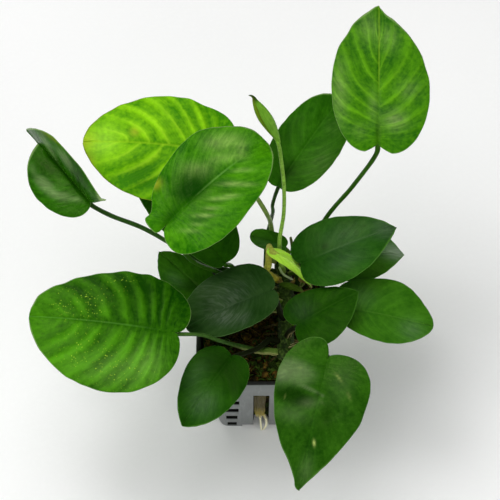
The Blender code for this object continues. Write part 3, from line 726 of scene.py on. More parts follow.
# ---- rhizome ----
@dataclass
class Rhizome:
    """The creeping stem with the ring scars of fallen leaves."""

    step: float = 0.35
    sides: int = 48
    scar_spacing: float = 2.3
    scar_depth: float = 0.16
    scar_width: float = 0.22
    lump: float = 0.22
    bark: RawSurface = RawSurface("#14200a", "#2a4010", "#52682c", 0.6, 4.0, 0.9, 0.2)

    def centre(self, y: float) -> np.ndarray:
        """The axis at a distance along Y."""
        path = np.array(RHIZOME_PATH)
        return np.array([np.interp(y, path[:, 1], path[:, 0]), y, np.interp(y, path[:, 1], path[:, 2])])

    def build(self) -> None:
        """A swept tube: radius * (1 - scars - lumps), where a scar is a narrow dip every scar_spacing mm."""
        path = smooth_path(RHIZOME_PATH, self.step)
        climb = travel(path)
        ends = np.minimum(climb, climb[-1] - climb)
        radius = RHIZOME_RADIUS * np.sqrt(1 - (1 - np.clip((ends + 0.4) / 3.4, 0, 1)) ** 2)
        angle = circle(self.sides)
        slant = climb[:, None] + 0.5 * np.sin(angle + 0.7)
        to_scar = np.abs((slant / self.scar_spacing) % 1.0 - 0.5) * self.scar_spacing
        around = np.stack(np.broadcast_arrays(climb[:, None], RHIZOME_RADIUS * np.cos(angle),
                                              RHIZOME_RADIUS * np.sin(angle)), -1)
        uneven = self.lump * (lumps(around, 2.6, 3) - 0.6)
        uneven = uneven - self.scar_depth * bell(to_scar, self.scar_width)
        shell = Shell()
        sweep(shell, path, radius, self.sides, 1.0 + uneven / RHIZOME_RADIUS)
        piece = shell.build("creeping_rhizome", self.bark.material("green rhizome bark"))
        dress(piece, Slot.RHIZOME, "rhizome")


RHIZOME = Rhizome()


# ---- leaves ----
@dataclass(frozen=True)
class Blade:
    """A leaf blade's form. Pairs are (left half, right half), seen from the stem towards the tip."""

    base: tuple
    heading: float
    pitch: float
    length: float
    half_width: tuple
    lobe: tuple = (2.0, 2.0)
    notch: tuple = (0.35, 0.35)
    widest: tuple = (0.35, 0.35)
    point: tuple = (1.4, 1.4)
    droop: float = 16.0
    fold: tuple = (6.0, 6.0)
    cup: tuple = (-6.0, -6.0)
    roll: float = 0.0
    nicks: tuple = ()                 # (half, tau, depth in mm, width in tau): a margin that draws in
    sinus: float = 0.0                # how far up the midrib the notch between the lobes reaches, mm
    tail: tuple = (1.0, 1.0)          # share of the length past which a half is only a thin strip

    NOTCH_END, BASE_END = 0.15, 0.5   # tau at the end of the margin's first and second arc
    STRIP = 0.5                       # mm of blade left past the tail

    def outline(self, half: int, along: np.ndarray) -> tuple:
        """The margin of one half: the notch, the rounded base and the side drawn in to the tip, three arcs.

        Args:
            half: 0 left, 1 right.
            along: tau, from 0 at the stem to 1 at the tip.
        Returns:
            Distance out from the midrib and distance along it, in mm.
        """
        first, second, length, sinus = self.NOTCH_END, self.BASE_END, self.length, self.sinus
        width, lobe, tail = self.half_width[half], self.lobe[half], self.tail[half]
        point = self.point[half]
        notch, widest = self.notch[half] * width, self.widest[half] * length
        inner = (1 - np.clip(along / first, 0, 1)) * pi / 2
        base = (np.clip((along - first) / (second - first), 0, 1) - 1) * pi / 2
        side = np.clip((along - second) / (1 - second), 0, 1) * pi / 2
        out = np.where(along < first, notch * (1 - np.sin(inner)), notch + (width - notch) * np.cos(base))
        end = np.where(along < first, sinus * np.sin(inner) - lobe * np.cos(inner),
                       widest + (widest + lobe) * np.sin(base))
        tapered = width * np.cos(side).clip(0) ** point
        if tail < 1.0:
            share = (length - widest) * np.sin(side) / (tail * length - widest)
            tapered = np.maximum(width * (1 - np.minimum(share, 1.0) ** 2) ** (0.5 * point),
                                 self.STRIP * ease(1 - along, 0.0, 0.1))
        drawn = sum((depth * bell(along - centre, spread) for where, centre, depth, spread in self.nicks
                     if where == half), np.zeros_like(along))
        tapered = np.maximum(tapered - drawn * ease(1 - along, 0, 0.05), 0.0)
        return (np.where(along < second, np.maximum(out - drawn, 0.0), tapered),
                np.where(along < second, end, widest + (length - widest) * np.sin(side)))

    def midrib(self, along: np.ndarray) -> tuple:
        """The midrib, an arc of the blade's length that turns down by droop.

        Args:
            along: distance from the stem, mm.
        Returns:
            Its points, tangents, sides and normals.
        """
        heading, pitch, roll = radians(self.heading), radians(self.pitch), radians(self.roll)
        slope = pitch - radians(self.droop) * along / self.length
        bend = self.length / radians(self.droop)
        run, rise = bend * (sin(pitch) - np.sin(slope)), bend * (np.cos(slope) - cos(pitch))
        point = np.array(self.base) + np.stack([run * cos(heading), run * sin(heading), rise], -1)
        tangent = np.stack([np.cos(slope) * cos(heading), np.cos(slope) * sin(heading), np.sin(slope)], -1)
        level = np.array([sin(heading), -cos(heading), 0.0])
        upright = np.cross(level, tangent)
        return (point, tangent, level * cos(roll) + upright * sin(roll),
                upright * cos(roll) - level * sin(roll))

    def place(self, across: np.ndarray, along: np.ndarray) -> np.ndarray:
        """Points of the middle surface: each half rises by fold and curls by cup, midrib + side + normal.

        Args:
            across: flat distance from the midrib, mm, right positive.
            along: flat distance from the stem, mm.
        Returns:
            Points in space.
        """
        point, _, side, normal = self.midrib(along)
        fold, cup = (np.where(across > 0, pair[1], pair[0]) for pair in (self.fold, self.cup))
        angle = np.radians(fold + cup * np.abs(across) / sum(self.half_width))
        return (point + side * (across * np.cos(angle))[..., None]
                + normal * (np.abs(across) * np.sin(angle))[..., None])

    def upward(self, across: np.ndarray, along: np.ndarray) -> np.ndarray:
        """Unit normals of the middle surface: the slope across x the slope along, by central differences.

        Args:
            across: flat distance from the midrib, mm.
            along: flat distance from the stem, mm.
        Returns:
            The normals.
        """
        probe = 0.4
        sideways = self.place(across + probe, along) - self.place(across - probe, along)
        return unit(np.cross(sideways, self.place(across, along + probe) - self.place(across, along - probe)))


@dataclass(frozen=True)
class Relief:
    """How far a blade's surface leaves its smooth form, in mm."""

    veins: int = 12
    quilt: float = 0.45          # from a sunk vein to the raised tissue beside it
    wave: float = 0.5            # of the margin, up and down
    waves: float = 2.3           # how many of them along a side
    buckle: float = 0.35         # slow unevenness
    scallop: float = 0.05        # of the margin, out and in at each vein
    thickness: float = 0.55
    groove: float = 0.35         # of the midrib, above
    keel: float = 0.45           # of the midrib, below
    crest: float = 2.2           # how narrow a rib's crest is
    calm: float = 0.48           # tau by which the ribs stand in full
    crowding: float = 3.0        # 1 spaces the veins evenly along the midrib, 3 gathers them at the stem


STRONG = Relief(wave=0.6, scallop=0.06)
SOFT = Relief(quilt=0.07, wave=0.4, buckle=0.55)
SMALL = Relief(veins=8, quilt=0.18, wave=0.2, buckle=0.12, thickness=0.5, keel=0.3)


class Tint(Enum):
    """What a patch does to the leaf under it."""

    YELLOW = "ageing yellow"
    # mostly painted shade in creases, folds and hollows: mixes in the shadow colour
    DARK = "near black green"
    # a fresher green in places, and painted light in others
    BRIGHT = "fresher green"
    # a deeper green in places, and painted shade in others
    DULL = "deeper green"
    # painted highlights: a pale sheen mixed into the colour
    SHEEN = "pale bloom of the cuticle"
    SPECKS = "pin-head yellow dots"


@dataclass(frozen=True)
class Stain:
    """A soft patch of another tint on a blade: its flat place and radius in mm, and how strong it is."""

    across: float
    along: float
    radius: float
    strength: float
    stretch: float = 1.0         # length over width
    turn: float = 90.0           # its long side, degrees from across to along
    edge: float = 2.0            # 2 fades away softly, 6 ends at a crisp edge

    def cover(self, across: np.ndarray, along: np.ndarray) -> np.ndarray:
        """How strong it is at flat places: strength * exp(-d^edge), where d is the distance off it in radii.

        Args:
            across: flat distance from the midrib, mm.
            along: flat distance from the stem, mm.
        Returns:
            Its strength at each place.
        """
        lengthways, sideways = turned(across - self.across, along - self.along, self.turn)
        squared = ((lengthways / self.stretch) ** 2 + sideways ** 2) / self.radius ** 2
        return self.strength * np.exp(-squared ** (self.edge / 2))


@dataclass(frozen=True)
class Stem:
    """A leaf stem: the bud it grows from, the points that it passes and its thickness, in mm."""

    bud: float                   # how far along Y
    clock: float                 # degrees round the rhizome from its top
    via: tuple = ()
    radius: float = 0.9
    sheath: float = 1.25
    open_length: float = 14.0    # over which the sheath stays open
    flare: float = 0.28          # how far its lips stand off, as a share of the radius

    SHEATH_FADE = 9.0
    STEP, SIDES = 0.8, 20
    LIP, LIP_WIDTH = 0.75, 0.28          # angle from the groove, and spread
    EDGE, EDGE_WIDTH = 0.72, 0.16        # of the dry edge of a lip
    GROOVE_WIDTH, GROOVE_DEPTH, OPEN_DEPTH = 0.5, 0.10, 0.35

    def path(self, *ends: tuple) -> np.ndarray:
        """The axis: off the rhizome's skin at the bud, through its own points and on to the ends.

        Args:
            ends: the last points.
        Returns:
            Points along it.
        """
        outward = np.array([sin(radians(self.clock)), 0.0, cos(radians(self.clock))])
        foot = RHIZOME.centre(self.bud) + outward * (RHIZOME_RADIUS + BUD_GAP)
        return smooth_path([foot - outward * BUD_GAP * 2, foot, foot + outward * BUD_REACH, *self.via, *ends],
                           self.STEP)

    def thickness(self, climb: np.ndarray) -> np.ndarray:
        """Radius at mm climbed: it falls off with exp(-climb / SHEATH_FADE) from the sheath to the stem."""
        return self.radius + (self.sheath - self.radius) * np.exp(-climb / self.SHEATH_FADE)

    def profile(self, climb: np.ndarray) -> tuple:
        """The open sheath: two lips beside a groove, which stays as a shallow one higher up.

        Args:
            climb: mm climbed, one for each ring.
        Returns:
            Factors on the radius and the mask of the lips' dry edges, (rings, sides) both.
        """
        off = circle(self.SIDES) - pi
        groove = bell(off, self.GROOVE_WIDTH)
        opened = ease(-climb, -self.open_length, -0.3 * self.open_length)[:, None]
        lips = self.flare * bell(np.abs(off) - self.LIP, self.LIP_WIDTH)
        shape = 1.0 + opened * (lips - self.OPEN_DEPTH * groove) - self.GROOVE_DEPTH * groove
        return shape, bell(np.abs(off) - self.EDGE, self.EDGE_WIDTH) * opened


@dataclass
class Leaf:
    """One leaf: its blade with veins, quilting, a keel and a margin, and its stem with an open sheath."""

    name: str
    blade: Blade
    stem: Stem
    slot: Slot
    skin: LeafSkin
    stem_slot: Slot = Slot.STEM_GREEN
    stem_skin: StemSkin = STEM_GREEN
    relief: Relief = SOFT
    stains: dict = field(default_factory=dict)      # a tint to rows of a Stain's numbers
    dents: tuple = ()            # (across, along, degrees across to along, half length, half width, height)

    ROW_STEP = 0.42              # mm between rows of a blade
    HALF_COLUMNS = 26
    FIRST_ROW, LAST_ROW = 0.02, 0.992
    VEIN_BOW, VEIN_SPREAD = 0.20, 0.66
    SIDE_SHIFT = 0.37            # of the right half's veins against the left's, in veins
    RIDGE, KEEL_WIDTH = 0.55, 0.8
    LEAST_MARGIN = 5.0           # width from which a narrow tip's rim is reckoned, mm
    NECK = 1.6                   # how far along the blade the stem enters its keel, mm

    def build(self) -> None:
        """Make both pieces and put them in place of their solids."""
        dress(self.build_blade(), self.slot, f"leaf_{self.name}")
        dress(self.build_stem(), self.stem_slot, f"stem_{self.name}")

    def build_blade(self) -> bpy.types.Object:
        """The blade, a closed skin: rows follow the veins, and a ring runs out over the top and back below.

        A vein is a quadratic Bezier curve from the midrib, at length * tau^crowding, to the margin at tau.
        The phase counts the veins, and a rib stands between two as (0.5 + 0.5 cos(2 pi phase))^crest. The
        skins lie half a thickness off the middle surface, thinner at the margin, with a groove above the
        midrib and a keel below.

        Returns:
            The piece.
        """
        blade, relief = self.blade, self.relief
        step = np.arange(self.HALF_COLUMNS + 1) / self.HALF_COLUMNS
        half = 0.5 * step + 0.25 * (1 - np.cos(pi * step))
        share = np.concatenate([-half[:0:-1], half])[None, :]
        rows = max(60, int(blade.length / self.ROW_STEP))
        along_tau = np.linspace(self.FIRST_ROW, self.LAST_ROW, rows)[:, None]
        out, end = (np.where(share > 0, right, left)
                    for left, right in zip(blade.outline(0, along_tau), blade.outline(1, along_tau)))
        t = np.abs(share)
        start = blade.sinus + (blade.length - blade.sinus) * along_tau ** relief.crowding
        bow = start + self.VEIN_BOW * (end - start)
        along = (1 - t) ** 2 * start + 2 * t * (1 - t) * bow + t ** 2 * end
        across = np.sign(share) * (2 * t * (1 - t) * self.VEIN_SPREAD + t ** 2) * out

        seed = sum(map(ord, self.name))
        phase = relief.veins * along_tau + np.where(share > 0, self.SIDE_SHIFT, 0.0) + 0.1 * t
        spread = np.stack(np.broadcast_arrays(phase, 2.5 * share), -1)
        phase = phase + 0.18 * lumps(spread, 1.6, seed)
        scallop = relief.scallop * np.cos(tau * phase) * (1 + lumps(spread, 1.0, seed + 2))
        across = across + np.sign(share) * t ** 3 * scallop * ease(along_tau, 0.15, 0.4)
        crest = (0.5 + 0.5 * np.cos(tau * phase)) ** relief.crest * (0.9 + 0.4 * lumps(spread, 1.0, seed + 1))
        rise, rib = self.raise_surface(crest, share, along_tau, across, along)
        thick = 0.5 * relief.thickness * (1 - 0.6 * t ** 8)
        groove = bell(across, self.RIDGE) * ease(along_tau, 0.0, 0.1) * (1 - 0.6 * along_tau)
        top = rise + thick - relief.groove * groove
        bottom = rise - thick - relief.keel * (bell(across, self.KEEL_WIDTH) * (1 - along_tau) ** 0.7)
        middle, up = blade.place(across, along), blade.upward(across, along)
        stained = {tint: sum((Stain(*row).cover(across, along) for row in self.stains.get(tint, ())),
                             np.zeros_like(across)) for tint in Tint}
        # rib: the crests, painted lighter as light on the relief, with the bright and dull patches added
        fields = {"phase": phase, "rib": rib - stained[Tint.DULL] + stained[Tint.BRIGHT], "share": share,
                  "across": across, "margin": (1 - t) * np.maximum(out, self.LEAST_MARGIN),
                  "way": along / blade.length}
        fields |= {key: stained[tint].clip(0, 1) for key, tint in (
            ("blush", Tint.YELLOW), ("shade", Tint.DARK), ("sheen", Tint.SHEEN), ("specks", Tint.SPECKS))}
        both = {key: np.broadcast_to(value, across.shape) for key, value in fields.items()}
        both = {key: np.concatenate([value, value[:, ::-1]], 1) for key, value in both.items()}
        both["below"] = np.repeat([0.0, 1.0], share.size)
        rings = [middle + up * top[..., None], (middle + up * bottom[..., None])[:, ::-1]]
        closing = (blade.place(np.zeros(()), np.full((), place)) for place in (blade.sinus, blade.length))
        shell = Shell()
        shell.add_rings(np.concatenate(rings, 1), *closing, **both)
        return shell.build(f"blade_{self.name}", self.skin.material(f"waxy leaf {self.name}"))

    def raise_surface(self, crest: np.ndarray, share: np.ndarray, along_tau: np.ndarray, across: np.ndarray,
                      along: np.ndarray) -> tuple:
        """How far the middle surface is raised: quilt * (crest - 0.35), a wavy margin, slow lumps and dents.

        Args:
            crest: about 1 on a rib's crest, 0 in a vein.
            share: from -1 at the left margin to 1 at the right one.
            along_tau: tau of each row.
            across: flat distance from the midrib, mm.
            along: flat distance from the stem, mm.
        Returns:
            The rise in mm, and the crests, faded out towards the midrib, the stem and the tip.
        """
        relief, t = self.relief, np.abs(share)
        seed = sum(map(ord, self.name))
        fade = ease(t, 0.0, 0.2) * (1 - 0.5 * t ** 3) * ease(along_tau, relief.calm - 0.27, relief.calm)
        fade = fade * ease(1 - along_tau, 0.02, 0.26)
        turns = relief.waves * along_tau + 0.31 * seed + np.where(share > 0, 0.4, 0.0)
        wave = t ** 2 * np.sin(tau * turns) * ease(along_tau, 0.1, 0.3) * ease(1 - along_tau, 0.0, 0.15)
        buckle = lumps(np.stack(np.broadcast_arrays(across, along), -1), 9.0, seed) * ease(t, 0.0, 0.5)
        rise = relief.quilt * (crest - 0.35) * fade + relief.wave * wave + relief.buckle * buckle
        for at_across, at_along, turn, long, wide, height in self.dents:
            lengthways, sideways = turned(across - at_across, along - at_along, turn)
            rise = rise + height * np.exp(-(lengthways / long) ** 2 - (sideways / wide) ** 2)
        return rise, crest * fade

    def route(self) -> np.ndarray:
        """The stem's axis, which ends up under the blade and in its keel.

        Returns:
            Points along it.
        """
        blade, stem = self.blade, self.stem
        base, tangent, _, normal = blade.midrib(np.zeros(()))
        tent = radians(max(0.0, -min(blade.fold)))
        under = (SOLID_BLADE_THICKNESS / 2 + SOLID_GAP + stem.radius) / cos(tent)
        neck = min(self.NECK, 0.12 * blade.length)
        inside, _, _, upright = blade.midrib(np.array([neck, 3 * neck]))
        inside = inside - upright * np.array([[0.95], [0.8]])
        return stem.path(base - normal * under - tangent * 0.3, *inside)

    def build_stem(self) -> bpy.types.Object:
        """The stem: its radius narrows over the last few mm, after a small swelling.

        Returns:
            The piece.
        """
        path = self.route()
        climb = travel(path)
        length = climb[-1]
        tail = min(4.0, 0.25 * length)
        radius = self.stem.thickness(climb) * (1.0 + 0.05 * lumps(path, 5.0, len(self.name) + int(length)))
        radius = radius * (1.0 - 0.65 * ease(climb, length - tail, length))
        radius = radius * (1.0 + 0.12 * bell(climb - (length - tail), 2.0))
        shape, edges = self.stem.profile(climb)
        angle = circle(self.stem.SIDES)
        shell = Shell()
        sweep(shell, path, radius, self.stem.SIDES, shape, climb=climb[:, None],
              way=(climb / length)[:, None], turn=2.0 * np.cos(angle) + 7.0 * np.sin(angle), lip=edges)
        return shell.build(f"petiole_{self.name}", self.stem_skin.material(f"leaf stem {self.name}"))


# ---- crown ----
@dataclass
class RolledLeaf:
    """The newest leaf, still rolled up, with the outer half lapped over the inner one in front."""

    points: tuple = ((6.0, 33.4, 129.3, 0.6), (4.6, 34.2, 132.5, 1.5), (2.4, 35.3, 137.3, 2.5),
                     (0.7, 36.0, 140.8, 2.75), (-1.1, 37.0, 144.6, 2.2), (-2.5, 37.8, 147.8, 1.2),
                     (-3.2, 38.3, 149.7, 0.6), (-4.1, 38.5, 150.5, 0.35), (-4.9, 38.5, 150.6, 0.12))
    facing: tuple = (-0.25, -0.80, 0.55)     # where the seam looks
    sides: int = 64
    seam: float = 1.75           # angle of the seam, from the right side round the front
    lap: float = 0.16            # how much deeper the inner half lies, as a share of the radius
    flatness: float = 0.72       # depth over width

    def build(self) -> None:
        """Rings: radius * (right * cos a + front * flatness * sin a), less the lap beyond the seam."""
        knots = smooth_path(self.points, 0.25)
        path, radius = knots[:, :3], knots[:, 3:]
        climb = travel(path)[:, None]
        way = climb / climb[-1]
        tangent = unit(np.gradient(path, axis=0))
        right = unit(np.cross(tangent, np.array(self.facing)))
        front = np.cross(right, tangent)
        angle = circle(self.sides)[None, :]
        seam = self.seam + 0.5 * (0.5 - way)
        inner = ease(angle, seam - 0.04, seam + 0.04) * ease(-angle, -seam - 2.2, -seam - 0.9)
        reach = radius * (1.0 - self.lap * inner * ease(way, 0.0, 0.15))
        rings = (path[:, None] + right[:, None] * (reach * np.cos(angle))[..., None]
                 + front[:, None] * (self.flatness * reach * np.sin(angle))[..., None])
        at_seam = bell(angle - seam - 0.10, 0.10) * ease(way, 0.05, 0.2) * ease(1 - way, 0.1, 0.3)
        shell = Shell()
        shell.add_rings(rings, path[0], path[-1], phase=angle * 2.2, rib=0.6 - 0.9 * inner, share=way * 2.0,
                        across=9.0, margin=9.0, below=0.0, sheen=0.0, specks=0.0, way=way, blush=0.35 * inner,
                        shade=(at_seam + ease(way, 0.80, 0.92)).clip(0, 0.9))
        dress(shell.build("rolled_spear", ROLLED.material("rolled young leaf")), Slot.LEAF_LIME, "leaf_spear")


@dataclass
class SpearStem:
    """The stem that carries the rolled leaf."""

    stem: Stem = Stem(18.5, -5, ((7.3, 19.6, 70), (6.8, 23.8, 77), (8.2, 28.9, 88), (8.1, 31.3, 104),
                                 (7.0, 32, 118)), radius=0.72)
    ends: tuple = ((5.9, 33.0, 128.0), (4.9, 34.0, 131.4))

    def build(self) -> None:
        """A swept tube that narrows from its sheath and runs on a little way inside the roll."""
        path = self.stem.path(*self.ends)
        climb = travel(path)
        shell = Shell()
        sweep(shell, path, self.stem.thickness(climb), Stem.SIDES, climb=climb[:, None],
              way=(climb / climb[-1])[:, None], turn=3.0 * circle(Stem.SIDES) / tau, lip=0.0)
        dress(shell.build("spear_stem", STEM_PALE.material("pale leaf stem")), Slot.STEM_PALE, "stem_spear")


@dataclass
class CrownPieces:
    """A cut stub, split sheaths of old leaves and a pale strand at the crown: points with radii, in mm."""

    pieces: tuple = (
        ("dry_stub", STEM_STUB, Slot.STEM_DARK, ("stub",),
         ((11.8, 22.0, 65.4, 0.8), (12.0, 25.4, 68.6, 0.7), (11.2, 27.6, 74.0, 0.5))),
        ("yellow_sheath", SHEATH_DRY, Slot.SHEATH, ("sheath_left",),
         ((4.6, 17.0, 59.3, 1.0), (2.9, 17.2, 59.2, 1.0), (1.0, 16.8, 58.6, 0.8))),
        ("brown_sheath", SHEATH_BROWN, Slot.SHEATH, ("sheath_brown",),
         ((13.6, 8.6, 60.4, 1.2), (16.2, 10.0, 61.4, 1.3), (18.8, 11.0, 61.6, 0.9), (20.6, 11.6, 61.0, 0.4))),
        ("pale_strand", STRAND_PALE, Slot.SHEATH, (),
         ((8.6, 19.0, 63.4, 0.6), (7.2, 18.6, 66.4, 0.55), (7.0, 17.4, 67.8, 0.5), (8.3, 15.4, 66.9, 0.45),
          (10.2, 14.6, 66.0, 0.45), (12.2, 14.2, 64.8, 0.3))),
        ("curled_sheath", SHEATH_CURLED, Slot.SHEATH, (),
         ((11.0, 13.2, 62.4, 0.6), (13.6, 14.2, 64.8, 1.2), (16.6, 13.8, 65.9, 1.3), (18.4, 12.2, 65.2, 0.8),
          (19.0, 10.6, 64.6, 0.4))),
        ("brown_scrap", SHEATH_CURLED, Slot.SHEATH, (),
         ((2.6, 15.6, 62.4, 0.7), (4.6, 16.2, 62.8, 1.2), (6.4, 15.4, 63.2, 1.1), (8.2, 13.6, 62.8, 0.6))),
        ("bud_scales", BUD_SCALE, Slot.SHEATH, (),
         ((7.4, 13.6, 62.4, 0.8), (9.6, 12.4, 63.6, 1.3), (12.0, 11.6, 63.9, 1.4), (14.6, 10.6, 63.6, 1.0),
          (15.8, 9.8, 63.0, 0.5))))
    sides: int = 28
    ribs: int = 9
    rib: float = 0.05            # height of a rib and depth of the open side, as shares of the radius
    hollow: float = 0.45

    def build(self) -> None:
        """Each is a swept tube, open down one side: radius * (1 + rib * cos(ribs a) - hollow * bell)."""
        angle = circle(self.sides)
        shape = 1.0 + self.rib * np.cos(self.ribs * angle) - self.hollow * bell(angle - pi, 0.5)
        for name, skin, slot, nodes, knots in self.pieces:
            path = smooth_path(knots, 0.25)
            climb = travel(path)
            shell = Shell()
            sweep(shell, path[:, :3], path[:, 3], self.sides, shape, climb=climb[:, None],
                  way=(climb / climb[-1])[:, None], turn=6.0 * np.cos(angle), lip=0.0)
            dress(shell.build(name, skin.material(f"{name} skin".replace("_", " "))), slot, *nodes)


# ---- roots and growing medium ----
def half_width_at(height: np.ndarray) -> np.ndarray:
    """Half the pot's outside width at a height above the table."""
    return (POT_BASE + (POT_TOP - 2 * RIM_PROUD - POT_BASE) * height / POT_HEIGHT) / 2


def corner_at(height: np.ndarray) -> np.ndarray:
    """The corner radius at a height."""
    return CORNER_BASE + (CORNER_TOP - CORNER_BASE) * height / POT_HEIGHT


def square_ring(half: np.ndarray, corner: np.ndarray, side_points: int, corner_points: int) -> np.ndarray:
    """X and Y round squares with round corners, anticlockwise from the right side's lower end.

    Args:
        half: half widths, one for each ring.
        corner: corner radii, one for each ring.
        side_points: points on a straight side.
        corner_points: points in a corner.
    Returns:
        Array (rings, points, 2).
    """
    half, corner = half[:, None], corner[:, None]
    run = np.linspace(-1, 1, side_points, endpoint=False)
    bend = np.arange(corner_points) / corner_points * pi / 2
    x = np.concatenate([half + 0 * run, half - corner + corner * np.cos(bend)], 1)
    y = np.concatenate([(half - corner) * run, half - corner + corner * np.sin(bend)], 1)
    return np.concatenate([np.stack(quarter, -1) for quarter in ((x, y), (-y, x), (-x, -y), (y, -x))], 1)


@dataclass
class Roots:
    """The bundle of water roots in the front window: x, height and radius of its main strands, in mm."""

    strands: tuple = (
        ((-2.3, 37.0, 0.75), (-2.4, 28.0, 0.8), (-2.1, 18.0, 0.75), (-1.8, 12.0, 0.5), (-1.6, 9.2, 0.2)),
        ((-1.4, 37.5, 0.8), (-1.2, 28.0, 0.95), (-1.0, 18.0, 0.85), (-0.6, 11.0, 0.6), (-0.2, 5.0, 0.42),
         (0.1, 1.5, 0.34), (0.2, 0.5, 0.2)),
        ((-0.5, 38.0, 0.8), (-0.4, 28.0, 0.95), (-0.3, 18.0, 0.9), (0.0, 12.0, 0.6), (0.1, 8.8, 0.2)),
        ((0.4, 38.0, 0.8), (0.4, 28.0, 0.9), (0.4, 20.0, 0.85), (0.8, 14.0, 0.75), (1.6, 9.5, 0.7),
         (2.2, 5.5, 0.6), (2.1, 2.5, 0.5), (1.2, 0.9, 0.38), (0.4, 0.5, 0.2)),
        ((1.1, 38.0, 0.7), (1.1, 30.0, 0.75), (1.0, 22.0, 0.6), (1.3, 16.0, 0.35)))
    depth: float = 1.1           # behind the pot's outer face
    kick: float = 3.4            # how far the foot of the bundle runs out in front of it
    kick_height: float = 6.0
    threads: int = 4             # that a strand is made of
    twist: float = 9.0           # mm climbed by a thread for each radian round its strand
    spread: float = 0.45         # of a strand's radius, from its axis to a thread's
    thickness: float = 0.55      # of a thread, as a share of its strand's radius

    def build(self) -> None:
        """Each strand is threads twisted round its axis, and none of them dips under the table."""
        shell = Shell()
        for number, strand in enumerate(self.strands):
            x, z, radius = np.array(strand).T
            y = self.depth - half_width_at(z) - self.kick * np.maximum(0.0, 1 - z / self.kick_height) ** 1.5
            path = smooth_path(np.stack([x, y, z, radius], -1), 0.5)
            climb = travel(path)
            for thread in range(self.threads):
                turn = climb / self.twist + thread / self.threads * tau + number
                offset = np.stack([np.cos(turn), np.sin(turn), 0 * turn], -1) * path[:, 3:] * self.spread
                radius = path[:, 3] * self.thickness
                radius = radius * (1 + 0.12 * lumps(path[:, :3], 2.0, number * 7 + thread))
                centre = path[:, :3] + offset
                centre[:, 2] = np.maximum(centre[:, 2], radius + 0.02)
                sweep(shell, centre, radius, 12)
        dress(shell.build("root_bundle", RootSkin().material("water root")), Slot.ROOT, "roots")


@dataclass(frozen=True)
class Litter:
    """Loose matter of one kind, strewn over the plug as short curved threads."""

    name: str
    count: int
    length: tuple                # shortest and longest, mm
    radius: tuple                # thinnest and thickest, mm
    arch: float                  # how far the middle may stand off the top, mm
    seed: int
    finish: RawSurface
    clusters: tuple = ()         # (x, y, spread) of the patches that it keeps to, or none
    sides: int = 6

    def shape(self, paths: np.ndarray, radii: np.ndarray) -> tuple:
        """Threads stay as they are."""
        return paths, radii


@dataclass(frozen=True)
class Crumbs(Litter):
    """Loose matter that lies about as crumbs."""

    sides: int = 7
    reach: float = 1.3           # half a crumb's length over its radius
    end: float = 0.92            # share of the half length at which an egg is closed

    def shape(self, paths: np.ndarray, radii: np.ndarray) -> tuple:
        """Eggs at the middles of the threads: radius * sqrt(1 - u^2), where u runs from -end to end.

        Args:
            paths: array (count, points, 3).
            radii: array (count, points).
        Returns:
            The eggs' axes and radii.
        """
        u = np.linspace(-self.end, self.end, 5)
        middle = paths.shape[1] // 2
        ahead = unit(paths[:, middle + 1:middle + 2] - paths[:, middle - 1:middle])
        size = radii.max(1)[:, None]
        line = paths[:, middle:middle + 1] + ahead * (self.reach * size * u)[..., None]
        line[..., 2] += 0.02 * np.sin(3 * u)
        return line, size * np.sqrt(1 - u ** 2)


